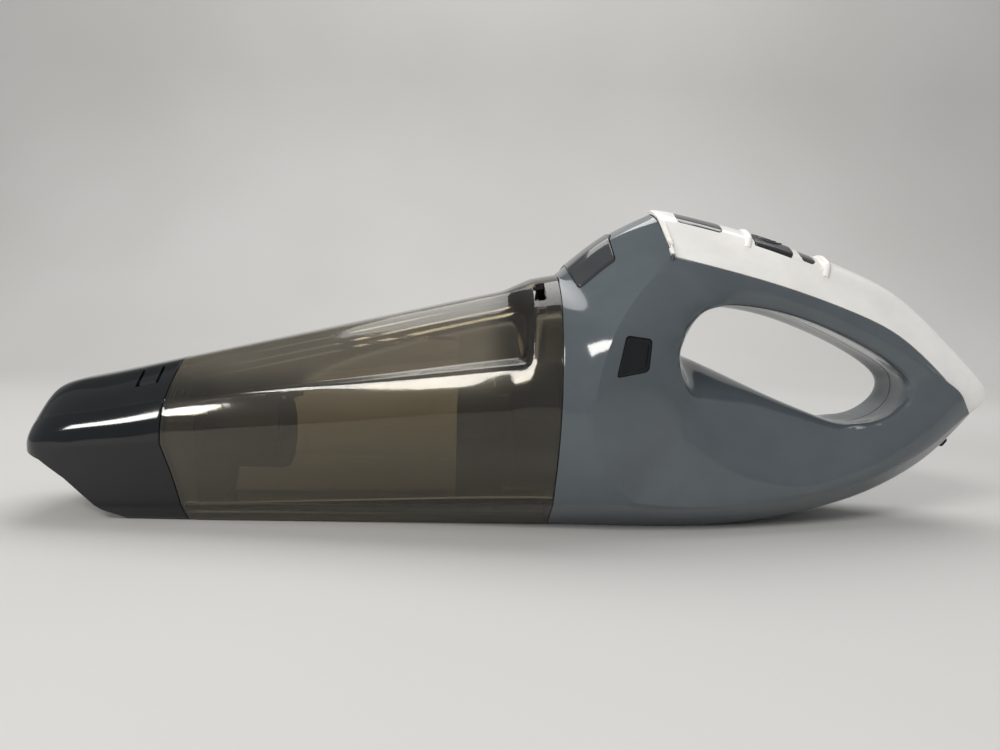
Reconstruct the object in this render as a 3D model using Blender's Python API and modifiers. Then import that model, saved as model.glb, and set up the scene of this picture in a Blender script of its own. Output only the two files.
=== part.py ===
"""Handheld cordless vacuum cleaner: clip-on nozzle, smoked dust bin, loop-handled motor body.

Row frame: metres, +Z up, the tool stands on its flat belly at Z = 0.
The nozzle points to -X and the tail to +X, and the left side is at -Y.
Sizes below are in millimetres and are scaled once, by MM.
"""

import math

import bmesh
import bpy
from mathutils import Matrix, Vector
from mathutils.bvhtree import BVHTree

MM = 0.001

# Driving sizes of the whole tool, in millimetres.
WALL = 2.2
SEAM_GAP = 0.3
BELLY_SNAP = 0.35
BIN_JOINT_X_LOW = 8.0
BIN_JOINT_X_HIGH = 10.8
COLLAR_TOP_Z = 103.5
NOZZLE_JOINT_X_LOW = -137.5
NOZZLE_JOINT_X_MID = -146.0
NOZZLE_JOINT_MID_Z = 33.0
NOZZLE_TIP_X = -213.0

# Arch of the collar, where bin and body meet: an ellipse over a flat-sided keel.
ARCH_HALF_WIDTH = 52.5
ARCH_CENTRE_Z = 45.0
ARCH_HEIGHT = 59.5
ARCH_DEGREES = (10, 26, 40, 55, 73, 90)
KEEL = ((0.0, 0.0), (24.0, 0.0), (41.0, 13.0), (46.8, 26.0), (51.0, 39.5))

# Drive train, on one axis along X.
MOTOR_Z = 38.0
FAN_FRONT_X = 18.0
FAN_REAR_X = 35.0
FAN_RADIUS = 30.0
MOTOR_REAR_X = 82.0
MOTOR_RADIUS = 17.5
SHAFT_RADIUS = 1.6

CELL_RADIUS = 9.2
CELL_LENGTH = 65.0


def mm(*values):
    """A vector in metres from sizes in millimetres."""
    return Vector(values) * MM


# ---------------------------------------------------------------- scene and helpers


def clear_scene():
    for obj in list(bpy.data.objects):
        bpy.data.objects.remove(obj)


def new_collection(name, hidden=False):
    made = bpy.data.collections.new(name)
    bpy.context.scene.collection.children.link(made)
    made.hide_render = hidden
    return made


clear_scene()
PARTS = new_collection("handheld_vacuum")
HELPERS = new_collection("cutters", hidden=True)


def finish(name, colour, roughness, metallic=0.0, alpha=1.0):
    """A Principled material for one kind of plastic, rubber or metal."""
    made = bpy.data.materials.new(name)
    made.use_nodes = True
    shader = made.node_tree.nodes["Principled BSDF"]
    shader.inputs["Base Color"].default_value = (*colour, 1.0)
    shader.inputs["Roughness"].default_value = roughness
    shader.inputs["Metallic"].default_value = metallic
    shader.inputs["Alpha"].default_value = alpha
    return made


GREY_GLOSS = finish("grey_gloss", (0.085, 0.105, 0.115), 0.16)
WHITE_GLOSS = finish("white_gloss", (0.83, 0.82, 0.79), 0.22)
BLACK_GLOSS = finish("black_gloss", (0.012, 0.012, 0.014), 0.12)
SMOKED = finish("smoked_clear", (0.10, 0.09, 0.065), 0.06, alpha=0.45)
DARK_LENS = finish("dark_lens", (0.045, 0.045, 0.047), 0.12)
BLACK_MATTE = finish("black_matte", (0.02, 0.02, 0.022), 0.5)
RUBBER = finish("rubber_black", (0.018, 0.018, 0.018), 0.75)
FILTER_PAPER = finish("filter_paper", (0.75, 0.74, 0.70), 0.9)
STEEL = finish("steel", (0.55, 0.55, 0.56), 0.3, metallic=1.0)
BOARD_GREEN = finish("board_green", (0.02, 0.16, 0.07), 0.45)
CELL_BLUE = finish("cell_sleeve", (0.03, 0.10, 0.30), 0.35)
COPPER = finish("copper", (0.70, 0.32, 0.16), 0.35, metallic=1.0)
WIRE_RED = finish("wire_red", (0.45, 0.02, 0.02), 0.4)
WIRE_BLACK = finish("wire_black", (0.015, 0.015, 0.015), 0.4)


def link(obj, material=None, helper=False):
    (HELPERS if helper else PARTS).objects.link(obj)
    if material:
        obj.data.materials.clear()
        obj.data.materials.append(material)
    if helper:
        obj.hide_render = True
        obj.display_type = "WIRE"
    return obj


def mesh_object(name, bm, material=None, helper=False):
    """The bmesh, given in millimetres, as an object of its own in metres."""
    bmesh.ops.scale(bm, vec=(MM, MM, MM), verts=bm.verts)
    mesh = bpy.data.meshes.new(name)
    bm.to_mesh(mesh)
    bm.free()
    obj = link(bpy.data.objects.new(name, mesh), material, helper)
    if not helper:
        smooth(obj)
    return obj


def smooth(obj, degrees=32):
    obj.data.shade_smooth()
    obj.data.set_sharp_from_angle(angle=math.radians(degrees))
    return obj


def applied(obj):
    """Replaces the object's mesh by what its modifiers make of it."""
    bpy.context.view_layer.update()
    graph = bpy.context.evaluated_depsgraph_get()
    mesh = bpy.data.meshes.new_from_object(obj.evaluated_get(graph))
    obj.modifiers.clear()
    obj.data = mesh
    return obj


def boolean(obj, other, operation, drop=True):
    """Joins or cuts two closed meshes. The exact solver loses pieces of the curved shells here."""
    cut = obj.modifiers.new(operation.lower(), "BOOLEAN")
    cut.operation = operation
    cut.solver = "MANIFOLD"
    cut.object = other
    applied(obj)
    if drop:
        bpy.data.objects.remove(other)
    return obj


def along_x(x):
    """A frame whose local Z is world X, at a point on the drive axis."""
    turn = Matrix.Rotation(math.radians(90), 4, "Y")
    return Matrix.Translation(mm(x, 0, MOTOR_Z)) @ turn


def cylinder(name, radius, length, matrix, material=None, sides=24, helper=False, radius_end=None):
    """A cylinder centred on the matrix's origin, along its local Z."""
    bm = bmesh.new()
    end = radius if radius_end is None else radius_end
    bmesh.ops.create_cone(
        bm, cap_ends=True, segments=sides, radius1=radius, radius2=end, depth=length
    )
    obj = mesh_object(name, bm, material, helper)
    obj.matrix_world = matrix
    return obj


def box(name, size, matrix, material=None, helper=False, rounding=0.0):
    """A box of (x, y, z) millimetres centred on the matrix's origin."""
    bm = bmesh.new()
    bmesh.ops.create_cube(bm, size=1.0)
    bmesh.ops.scale(bm, vec=size, verts=bm.verts)
    if rounding:
        bmesh.ops.bevel(
            bm, geom=bm.edges[:], offset=rounding, segments=2, profile=0.5,
            affect="EDGES", material=-1,
        )
    obj = mesh_object(name, bm, material, helper)
    obj.matrix_world = matrix
    return obj


def ring(name, profile, matrix, material, sides=28):
    """A turned ring: a closed profile of (radius, height) swept round the matrix's local Z."""
    bm = bmesh.new()
    verts = [bm.verts.new((radius, 0, height)) for radius, height in profile]
    for a, b in zip(verts, verts[1:] + verts[:1]):
        bm.edges.new((a, b))
    obj = mesh_object(name, bm, material)
    turn = obj.modifiers.new("turn", "SCREW")
    turn.steps = turn.render_steps = sides
    turn.use_merge_vertices = True
    turn.merge_threshold = 0.00001
    turn.use_smooth_shade = True
    applied(obj)
    obj.matrix_world = matrix
    return smooth(obj)


def tube_profile(inner, outer, low, high):
    """The closed profile of a plain tube, running down its outer side."""
    return ((outer, high), (outer, low), (inner, low), (inner, high))


def plate(name, outlines, thickness, matrix, material=None, helper=False):
    """A flat plate from closed outlines of (x, y): the first is its edge, the rest are holes."""
    data = bpy.data.curves.new(name, "CURVE")
    data.dimensions = "2D"
    data.fill_mode = "BOTH"
    data.extrude = thickness / 2 * MM
    for outline in outlines:
        spline = data.splines.new("POLY")
        spline.points.add(len(outline) - 1)
        for point, (x, y) in zip(spline.points, outline):
            point.co = (x * MM, y * MM, 0, 1)
        spline.use_cyclic_u = True
    curve = bpy.data.objects.new(name, data)
    bpy.context.scene.collection.objects.link(curve)
    curve.matrix_world = matrix
    return curve_to_mesh(curve, name, material, helper)


def curve_to_mesh(curve, name, material, helper=False):
    bpy.context.view_layer.update()
    graph = bpy.context.evaluated_depsgraph_get()
    mesh = bpy.data.meshes.new_from_object(curve.evaluated_get(graph))
    matrix = curve.matrix_world.copy()
    bpy.data.objects.remove(curve)
    bm = bmesh.new()
    bm.from_mesh(mesh)
    bmesh.ops.remove_doubles(bm, verts=bm.verts, dist=0.00001)
    bmesh.ops.recalc_face_normals(bm, faces=bm.faces)
    bm.to_mesh(mesh)
    bm.free()
    obj = link(bpy.data.objects.new(name, mesh), material, helper)
    obj.matrix_world = matrix
    return obj if helper else smooth(obj)


def wire(name, points, radius, material, resolution=2):
    """A round wire through points in millimetres."""
    data = bpy.data.curves.new(name, "CURVE")
    data.dimensions = "3D"
    data.bevel_depth = radius * MM
    data.bevel_resolution = resolution
    data.use_fill_caps = True
    spline = data.splines.new("POLY")
    spline.points.add(len(points) - 1)
    for point, place in zip(spline.points, points):
        point.co = (*mm(*place), 1)
    curve = bpy.data.objects.new(name, data)
    bpy.context.scene.collection.objects.link(curve)
    return curve_to_mesh(curve, name, material)


def smooth_route(points, steps):
    """A Catmull-Rom curve through the points, with steps points to each span."""
    ends = [points[0], *points, points[-1]]
    route = []
    for a, b, c, d in zip(ends, ends[1:], ends[2:], ends[3:]):
        a, b, c, d = map(Vector, (a, b, c, d))
        for k in range(steps):
            t = k / steps
            route.append(
                0.5 * (2 * b + (c - a) * t + (2 * a - 5 * b + 4 * c - d) * t ** 2
                       + (3 * b - a - 3 * c + d) * t ** 3)
            )
    return [tuple(p) for p in route] + [tuple(points[-1])]


# ---------------------------------------------------------------- cages of the outer shells


def arch(degrees):
    angle = math.radians(degrees)
    return ARCH_HALF_WIDTH * math.cos(angle), ARCH_CENTRE_Z + ARCH_HEIGHT * math.sin(angle)


COLLAR = [*KEEL, *map(arch, ARCH_DEGREES)]  # eleven points, belly centre to crown
CROWN = len(COLLAR) - 1
KEEL_EDGE, KEEL_CREASE, WAIST = 1, 2, 4  # sharp lines that run along the tool


def collar_x(z):
    """The bin and the body meet on a plane that leans back a little."""
    return BIN_JOINT_X_LOW + (BIN_JOINT_X_HIGH - BIN_JOINT_X_LOW) * z / COLLAR_TOP_Z


def body_cage():
    """Left half of the motor body, as rays from the outer outline in to the handle's loop.

    Each ray is: outline centre, outline edge, crease, inner crease, rim, loop centre.
    A point is (x, half width, z). The first rays stand on the collar, and have no centre.
    """
    collar = [(collar_x(z), y, z) for y, z in COLLAR]
    front = [
        [collar[9], (33, 42, 87), (55.5, 38.5, 84.5), (58, 30, 83.5), (61.5, 0, 82.5)],
        [collar[8], (28.5, 44.8, 79), (54.5, 39.3, 79), (57, 30, 79), (60.6, 0, 79.5)],
        [collar[7], (25, 46.6, 69.5), (54.3, 39.8, 73.5), (57, 30, 74), (60.3, 0, 76.8)],
        [collar[6], (22.6, 47.8, 59), (54.6, 40, 68), (57.6, 29.5, 70), (61, 0, 74.6)],
        [collar[5], (22, 48.3, 48), (55.4, 40, 63), (59, 28.5, 67), (62.6, 0, 73)],
        [collar[4], (24, 47.6, 36), (56.6, 40, 58), (60.6, 27, 64.5), (64.8, 0, 71.5)],
        [collar[3], (29, 46, 25), (58.4, 39.6, 53), (63, 25, 62.5), (67.6, 0, 70)],
        [collar[2], (40, 43, 14.5), (60.5, 39.3, 49), (65, 23.5, 61), (70.6, 0, 68.4)],
        [collar[1], (52, 41, 12.7), (63.5, 39, 45.5), (68, 22, 59.5), (74, 0, 66.6)],
    ]
    ring_rays = [
        [(45, 0, 0), (45, 25, 0), (66, 39.5, 12), (71, 38.4, 38), (78, 20, 55), (84, 0, 62)],
        [(72, 0, 0), (72, 24, 0.2), (84, 36.6, 12.2), (84, 36, 30), (93, 18.5, 48), (96, 0, 56)],
        [(97, 0, 2.2), (97, 22.5, 2.4), (103, 33, 13.6), (100, 33, 24.5), (110, 17, 41), (109, 0, 50)],
        [(120, 0, 6), (120, 20, 6.2), (122, 29, 16), (117, 29.5, 22.5), (125, 16, 36), (122, 0, 44.6)],
        [(141, 0, 11), (141, 17, 11.3), (141, 24.3, 20), (137, 25.4, 26.5), (140, 15.5, 34.5), (136, 0, 41.4)],
        [(160, 0, 18), (160, 13.5, 18.3), (159, 19.8, 26), (156, 21.5, 33), (154, 15, 38), (149, 0, 42.8)],
        [(177, 0, 27.5), (177, 10.5, 27.8), (176, 16, 34.4), (171, 19, 42), (165, 14.6, 45), (159, 0, 47.2)],
        [(189.5, 0, 38), (189.2, 8.8, 38.2), (187, 13.2, 42.4), (180, 16.6, 49), (172, 14, 52.4), (164.6, 0, 53.8)],
        [(199.5, 0, 48), (198.6, 7.8, 48), (196, 10.8, 48.8), (187.5, 14.8, 57.5), (176, 13.5, 60.5), (165.4, 0, 60.4)],
        [(206.9, 0, 56.2), (205.2, 7.6, 56.6), (189, 11.8, 56), (181, 14.8, 63), (172, 14, 66), (163.4, 0, 65.4)],
        [(195.3, 0, 71.8), (194, 8.8, 69.6), (182, 13, 63.8), (171, 16, 71.4), (162, 14.8, 71), (157.5, 0, 70)],
        [(168, 0, 96.6), (166.8, 10.4, 93.4), (162, 15.6, 79.8), (154, 17, 79), (147, 15.4, 77.4), (145.5, 0, 76.4)],
        [(147.5, 0, 107.8), (146.6, 11.6, 104), (141, 17.8, 89.8), (134, 18, 87.4), (130, 16, 85.6), (128, 0, 84.4)],
        [(122.5, 0, 117.4), (121.5, 12.2, 113), (114, 19.4, 98.8), (110, 18.6, 95.4), (108, 16.4, 93.4), (107, 0, 92.2)],
        [(90, 0, 126.8), (89, 12.6, 121.9), (87, 21.4, 105.8), (86, 20, 101.2), (86, 17.6, 98), (87, 0, 95.2)],
        [(56.2, 0, 133.7), (57, 12.4, 128.9), (59.6, 23.8, 111.6), (64, 28, 103.2), (68, 24, 98), (73, 0, 93.2)],
        [(51.4, 0, 131.9), (52.6, 12.8, 127.4), (57, 24.4, 111.8), (60.4, 31.5, 102), (64, 27, 96), (67.6, 0, 90.8)],
        [(31, 0, 120.8), (31, 14.5, 118.4), (43, 35, 99.5), (57, 36, 92), (60.2, 29, 90.4), (64, 0, 87.4)],
    ]
    return front, ring_rays, collar[10]


COVER_RAYS = (8, 16)  # the rays of the closed ring between which the white cover lies


def add_face(bm, corners, tag, side):
    """A quad for one side of the tool: the right side is the left one turned over."""
    corners = corners if side < 0 else corners[::-1]
    made = bm.faces.new(corners)
    made.material_index = tag
    return made


HOUSING_TAG, COVER_TAG, CAP_TAG = 0, 1, 2


def body_form(level):
    """The motor body's outer surface, both halves, with the collar's mouth capped.

    Faces carry a tag for the housing, the top cover and the cap.
    """
    front, closed, crown = body_cage()
    bm = bmesh.new()
    crease = bm.edges.layers.float.new("crease_edge")
    for side in (-1, 1):
        def vert(point):
            return bm.verts.new((point[0], side * point[1], point[2]))

        rays = [[None, *map(vert, ray)] for ray in front]
        rays += [list(map(vert, ray)) for ray in closed]
        rays[0][0] = vert(crown)
        rays[8][0] = vert((BIN_JOINT_X_LOW, 0, 0))
        count = len(rays)
        first_closed = len(front)
        cover = range(first_closed + COVER_RAYS[0], first_closed + COVER_RAYS[1])
        for i in range(count):
            a, b = rays[i], rays[(i + 1) % count]
            for r in range(5):
                if r == 0 and i < first_closed - 1:
                    continue
                tag = COVER_TAG if r < 2 and i in cover else HOUSING_TAG
                add_face(bm, (a[r], b[r], b[r + 1], a[r + 1]), tag, side)
        # The cap is a fan of quads from the collar's edge to its middle plane.
        spine = [rays[8][0]]
        for ray in reversed(front[:8]):
            spine.append(bm.verts.new((ray[0][0], 0, ray[0][2])))
        spine[-1] = rays[0][0]
        edge = [ray[1] for ray in reversed(rays[:9])]
        for k in range(len(edge) - 1):
            corners = (edge[k], edge[k + 1], spine[k + 1], spine[k])
            add_face(bm, corners, CAP_TAG, side)
        for i in range(count):
            mark(bm, crease, rays, i, first_closed)
    bmesh.ops.remove_doubles(bm, verts=bm.verts, dist=0.001)
    bmesh.ops.recalc_face_normals(bm, faces=bm.faces)
    return fitted(mesh_object("body_form", bm, helper=True), level)


def set_crease(bm, layer, a, b, value):
    edge = bm.edges.get((a, b))
    if edge:
        edge[layer] = max(edge[layer], value)


def mark(bm, layer, rays, i, first_closed):
    """How sharp the lines of the body are, from 0 to 1."""
    here, there = rays[i], rays[(i + 1) % len(rays)]
    on_collar = i < first_closed - 1
    set_crease(bm, layer, here[1], there[1], 1.0 if on_collar else 0.55)
    on_cover = first_closed + COVER_RAYS[0] <= i < first_closed + COVER_RAYS[1]
    set_crease(bm, layer, here[2], there[2], 0.8 if on_cover else 0.75)
    set_crease(bm, layer, here[3], there[3], 0.45 if i < first_closed + 4 else 0.1)
    if i in (first_closed + COVER_RAYS[0], first_closed + COVER_RAYS[1]):
        for r in range(2):
            set_crease(bm, layer, here[r], here[r + 1], 0.8)
    if i == 7:  # the keel's crease runs back from the collar
        set_crease(bm, layer, here[1], here[2], 0.8)
    if i in (0, 8):
        set_crease(bm, layer, here[0], here[1], 1.0)


def fitted(form, level, rounds=3):
    """Shifts the cage so that its subdivided surface passes through the points it was drawn with."""
    targets = [v.co.copy() for v in form.data.vertices]
    for _ in range(rounds):
        copy = form.copy()
        copy.data = form.data.copy()
        HELPERS.objects.link(copy)
        divide = copy.modifiers.new("round", "SUBSURF")
        divide.levels = divide.render_levels = 3
        applied(copy)
        for v, target, got in zip(form.data.vertices, targets, copy.data.vertices):
            v.co += (target - got.co) * 0.8
        bpy.data.objects.remove(copy)
    divide = form.modifiers.new("round", "SUBSURF")
    divide.levels = divide.render_levels = level
    applied(form)
    for v in form.data.vertices:
        if v.co.z < BELLY_SNAP * MM:
            v.co.z = 0.0
    return form


def shell_part(name, form, keep, material, inset=0.0, wall=WALL, gap=SEAM_GAP, helper=False):
    """A wall of the form, over the faces that keep() picks.

    The wall starts at inset below the form's surface and is solid inwards from there.
    Its edges stand back by half the seam gap, at right angles to the surface.
    """
    whole = bmesh.new()
    whole.from_mesh(form.data)
    whole.normal_update()
    picked = [f for f in whole.faces if keep(f)]
    kept = set(picked)
    pulls = {}
    for f in picked:
        for loop in f.loops:
            others = [g for g in loop.edge.link_faces if g is not f and g in kept]
            if others:
                continue
            along = loop.link_loop_next.vert.co - loop.vert.co
            inward = f.normal.cross(along).normalized()
            for v in (loop.vert, loop.link_loop_next.vert):
                pulls[v] = pulls.get(v, Vector()) + inward
    made = bmesh.new()
    outer, inner = {}, {}
    for f in picked:
        for v in f.verts:
            if v in outer:
                continue
            pull = pulls.get(v, Vector())
            pull = pull.normalized() * gap / 2 * MM if pull.length else pull
            depth = v.normal * min(v.calc_shell_factor(), 1.35) * MM
            outer[v] = made.verts.new(v.co + pull - depth * inset)
            inner[v] = made.verts.new(v.co + pull - depth * (inset + wall))
    for f in picked:
        made.faces.new([outer[v] for v in f.verts])
        made.faces.new([inner[v] for v in reversed(f.verts)])
        for loop in f.loops:
            if any(g is not f and g in kept for g in loop.edge.link_faces):
                continue
            a, b = loop.vert, loop.link_loop_next.vert
            # Two pieces that meet here split their rims along the same diagonal.
            if a.index < b.index:
                made.faces.new((outer[b], outer[a], inner[b]))
                made.faces.new((outer[a], inner[a], inner[b]))
            else:
                made.faces.new((outer[b], outer[a], inner[a]))
                made.faces.new((outer[b], inner[a], inner[b]))
    whole.free()
    mesh = bpy.data.meshes.new(name)
    made.to_mesh(mesh)
    made.free()
    obj = link(bpy.data.objects.new(name, mesh), material, helper)
    return obj if helper else smooth(obj)


# ---------------------------------------------------------------- bin and nozzle


BIN_SECTIONS = (
    # Each section runs from the belly centre to the spine centre, as the collar does.
    ((-2, 0, 0), (-2, 24, 0), (-2, 40.2, 12.9), (-2, 45.8, 26), (-2, 49.8, 39.4), (-2, 50.9, 55),
     (-1.2, 46.2, 68.8), (-1, 39.6, 81.6), (-0.5, 29.6, 92), (0, 15.1, 99.8), (0, 0, 102.3)),
    ((-12, 0, 0), (-12, 24, 0), (-12, 39.3, 12.6), (-12, 44.6, 25.5), (-12, 48.8, 39), (-12, 49.4, 53.5),
     (-5, 45.3, 67.8), (-6.5, 37.5, 70.6), (-9.5, 27, 84.5), (-12, 13, 95.2), (-12, 0, 96.8)),
    ((-30, 0, 0), (-30, 24, 0), (-30, 37.5, 11.9), (-30, 42.6, 25), (-30, 46.8, 38.5), (-30, 47.4, 52),
     (-30, 42.6, 64.4), (-30, 36.6, 67.2), (-30, 26, 81), (-30, 13, 91), (-30, 0, 92.6)),
    ((-72, 0, 0), (-72, 24, 0), (-72, 33.8, 9.9), (-72, 38, 23.2), (-72, 42.5, 36.6), (-72, 42.5, 47.5),
     (-72, 38.4, 58.8), (-72, 34.4, 60.8), (-72, 24.5, 72), (-72, 13, 81.2), (-72, 0, 82.7)),
    ((-108, 0, 0), (-108, 24, 0), (-108, 31.5, 8.4), (-108, 34.5, 21.5), (-108, 38.2, 34.6), (-108, 38, 44),
     (-108, 34.6, 54.4), (-108, 32.6, 55.8), (-108, 23, 64.6), (-108, 12.5, 73), (-108, 0, 74.3)),
    ((-134, 0, 0), (-134, 24, 0), (-134, 30, 7.6), (-134, 32.6, 20.4), (-134, 35.3, 33.4), (-134, 34.8, 42),
     (-134, 31.8, 50.9), (-134, 30.6, 51.8), (-134, 22.4, 59.6), (-134, 12, 67), (-134, 0, 68.2)),
)
NOZZLE_SECTIONS = (
    ((-137.5, 0, 0), (-137.5, 23.5, 0), (-139, 29.3, 7.3), (-142, 31.4, 20), (-146, 34, 33), (-145.8, 33.4, 41.5),
     (-145.4, 30.5, 49.6), (-145.3, 29.7, 50.3), (-144.8, 22, 57.4), (-144.2, 12, 64.6), (-144.2, 0, 65.8)),
    ((-160, 0, 0), (-160, 23, 0), (-160, 28.8, 6.8), (-160, 30.6, 19.5), (-160, 33.2, 32.1), (-160, 32.4, 39.5),
     (-160, 29.4, 46.8), (-160, 28.6, 47.6), (-160, 21.5, 54.4), (-160, 12, 60.8), (-160, 0, 62)),
    ((-178, 0, 0), (-178, 22, 0), (-178, 27.4, 6.3), (-178, 29.2, 19), (-178, 31.4, 30.6), (-178, 30.6, 37.6),
     (-178, 27.6, 43.6), (-178, 26.8, 44.4), (-178, 20.5, 50.8), (-178, 11.5, 56.6), (-178, 0, 57.8)),
    ((-192, 0, 0), (-192, 20, 0), (-192, 25.4, 6), (-192, 27, 18), (-192, 29, 28.8), (-192, 28.2, 35.6),
     (-192, 25, 41.2), (-192, 24.2, 42), (-192, 18.6, 47.8), (-192, 10.5, 53.2), (-192, 0, 54.4)),
    ((-200.5, 0, 0), (-200.5, 17, 0), (-200.5, 21.5, 6), (-200.5, 23, 17), (-201, 24.6, 27.6), (-201, 23.6, 33.6),
     (-200.5, 20.6, 38.2), (-200.4, 19.6, 39.2), (-199.8, 14.8, 44.2), (-199.4, 8, 48.8), (-199.2, 0, 49.8)),
    ((-204, 0, 3), (-204, 10, 3), (-204.6, 13, 8), (-205.6, 14, 17), (-205.8, 15.4, 27), (-205.8, 14.6, 31.6),
     (-205.4, 12.4, 35), (-205.2, 11.6, 35.8), (-204.6, 8.6, 39), (-204, 4.6, 41.6), (-203.8, 0, 42.4)),
)
SHELF_LINES = {1: 0.5, 2: 0.8, 4: 1.0, 6: 0.9, 7: 0.6, 9: 0.5}
JOINT_SECTION = 7  # the section where the nozzle meets the bin, counted from the collar
SLEEVE_TAGS = (6, 7)


def canister_form(level):
    """The outer surface of bin and nozzle together; each strip's faces carry its number."""
    bm = bmesh.new()
    crease = bm.edges.layers.float.new("crease_edge")
    collar = [(collar_x(z), y, z) for y, z in COLLAR]
    sections = [collar, *BIN_SECTIONS, *NOZZLE_SECTIONS]
    for side in (-1, 1):
        rows = [[bm.verts.new((x, side * y, z)) for x, y, z in section] for section in sections]
        for n, (back, ahead) in enumerate(zip(rows, rows[1:])):
            for k in range(CROWN):
                add_face(bm, (back[k], ahead[k], ahead[k + 1], back[k + 1]), n, side)
        for k in range(CROWN + 1):
            value = SHELF_LINES.get(k, 0)
            for back, ahead in zip(rows[:11], rows[1:11]):
                set_crease(bm, crease, back[k], ahead[k], value)
        for k in range(6, CROWN):
            set_crease(bm, crease, rows[1][k], rows[1][k + 1], 0.6)
            set_crease(bm, crease, rows[2][k], rows[2][k + 1], 0.5)
        # The nose is closed by a strip of quads down its middle.
        nose = rows[-1]
        spine = [nose[0]]
        for k in range(1, CROWN):
            spine.append(bm.verts.new((nose[k].co.x - 0.8, 0, nose[k].co.z)))
        spine.append(nose[CROWN])
        for k in range(CROWN):
            corners = (nose[k], spine[k], spine[k + 1], nose[k + 1])
            if k == 0:
                corners = (nose[0], spine[1], nose[1])
            if k == CROWN - 1:
                corners = (nose[k], spine[k], nose[CROWN])
            add_face(bm, corners, len(rows) - 2, side)
    bmesh.ops.remove_doubles(bm, verts=bm.verts, dist=0.001)
    bmesh.ops.recalc_face_normals(bm, faces=bm.faces)
    return fitted(mesh_object("canister_form", bm, helper=True), level)


def section_outline(form, x, inset):
    """The form's outline where a plane of constant X cuts it, moved inwards, as (y, z) in millimetres."""
    tree = BVHTree.FromObject(form, bpy.context.evaluated_depsgraph_get())
    centre = mm(x, 0, 38)
    points = []
    for k in range(48):
        angle = 2 * math.pi * k / 48
        ray = Vector((0, math.cos(angle), math.sin(angle)))
        hit, normal, _, _ = tree.ray_cast(centre, ray)
        flat = Vector((0, normal.y, normal.z)).normalized()
        hit = hit - (flat if flat.dot(ray) > 0 else -flat) * inset * MM
        points.append((hit.y / MM, hit.z / MM))
    return points


def upright(x):
    """A frame whose local X, Y and Z are the world's Y, Z and X: plates across the tool."""
    turn = Matrix(((0, 0, 1), (1, 0, 0), (0, 1, 0))).to_4x4()
    return Matrix.Translation(mm(x, 0, 0)) @ turn


def circle(radius, centre=(0, 0), sides=28, phase=0.0):
    step = 2 * math.pi / sides
    return [
        (centre[0] + radius * math.cos(k * step + phase), centre[1] + radius * math.sin(k * step + phase))
        for k in range(sides)
    ]


CANISTER = canister_form(1)
BODY = body_form(1)


def inset_solid(form, inset):
    """The form as one closed solid, moved inwards by inset millimetres."""
    bm = bmesh.new()
    bm.from_mesh(form.data)
    bm.normal_update()
    moves = [(v, v.normal * min(v.calc_shell_factor(), 1.35) * inset * MM) for v in bm.verts]
    for v, move in moves:
        v.co -= move
    bmesh.ops.holes_fill(bm, edges=[e for e in bm.edges if e.is_boundary], sides=0)
    bmesh.ops.recalc_face_normals(bm, faces=bm.faces)
    mesh = bpy.data.meshes.new("core")
    bm.to_mesh(mesh)
    bm.free()
    return link(bpy.data.objects.new("core", mesh), helper=True)


def skin_piece(name, form, outline, inset, wall, material=None):
    """The part of the form's wall that lies inside a prism, as a piece of its own."""
    band = shell_part(name, form, lambda f: True, material, inset, wall, gap=0, helper=not material)
    return boolean(band, outline, "INTERSECT")


def prism(corners, matrix, depth=24.0, rounding=1.6):
    """A rounded prism along the matrix's local Z, from corners given as (x, y)."""
    return plate("prism", [rounded(corners, rounding)], depth, matrix, helper=True)


def rounded(corners, radius, steps=3):
    """The closed outline with each corner replaced by a small arc."""
    points = []
    for k, corner in enumerate(corners):
        here = Vector(corner)
        before = (Vector(corners[k - 1]) - here).normalized() * radius
        after = (Vector(corners[(k + 1) % len(corners)]) - here).normalized() * radius
        for step in range(steps + 1):
            t = step / steps
            points.append(tuple(here + before * (1 - t) ** 2 + after * t ** 2))
    return points


def rectangle(width, height, centre=(0, 0)):
    x, y = centre
    a, b = width / 2, height / 2
    return [(x - a, y - b), (x + a, y - b), (x + a, y + b), (x - a, y + b)]


def grown(corners, amount):
    """The outline moved outwards from its own centre, by about the amount at each corner."""
    centre = sum((Vector(c) for c in corners), Vector((0, 0))) / len(corners)
    return [tuple(Vector(c) + (Vector(c) - centre).normalized() * amount * 1.4) for c in corners]


def facing(x, z, lean):
    """A frame at (x, 0, z) whose local Z leans back from straight up, by lean degrees, to +X."""
    return Matrix.Translation(mm(x, 0, z)) @ Matrix.Rotation(math.radians(lean), 4, "Y")


# Openings in the skin, as outlines in their own frames.
RELEASE_LEAN = -36.0
RELEASE_FRAME = facing(24.5, 112.0, RELEASE_LEAN)
RELEASE_DEPTH = 44.0
RELEASE_OUTLINE = [(-9, -23), (7.6, -22), (7.6, 22), (-9, 23)]
CONTROL_LEAN = 18.5
CONTROL_FRAME = facing(104.8, 120.5, CONTROL_LEAN)
POWER_OUTLINE = rectangle(14, 22.4)
PAD_OUTLINE = rectangle(33, 27, (5, 0))
INDICATOR_OUTLINE = rectangle(6, 13, (14.6, 0))
DISPLAY_FRAME = facing(71.0, 129.0, 11.0)
DISPLAY_OUTLINE = rectangle(20.4, 20.6)
SIDE_FRAME = Matrix.Rotation(math.radians(90), 4, "X")
WINDOW_OUTLINE = [(34, 79.8), (30.4, 64.1), (43.4, 66.5), (44.5, 78.5)]
CHARGE_LEAN = 128.0
CHARGE_FRAME = facing(190.0, 37.6, CHARGE_LEAN)
CHARGE_OUTLINE = rectangle(11, 10)
LATCH_SLOT = (2.6, 25.0, 5.6, 5.4)
SNAP_PLACE = (-155.4, 58.0)

SCREW_PLACES = ((46, 104), (153, 81), (92, 41), (172, 41))


def through(outline, matrix, depth=24.0):
    """A cutter for an opening: the outline, wider by the seam gap all round."""
    return prism(grown(outline, SEAM_GAP), matrix, depth, rounding=2.0)


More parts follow.
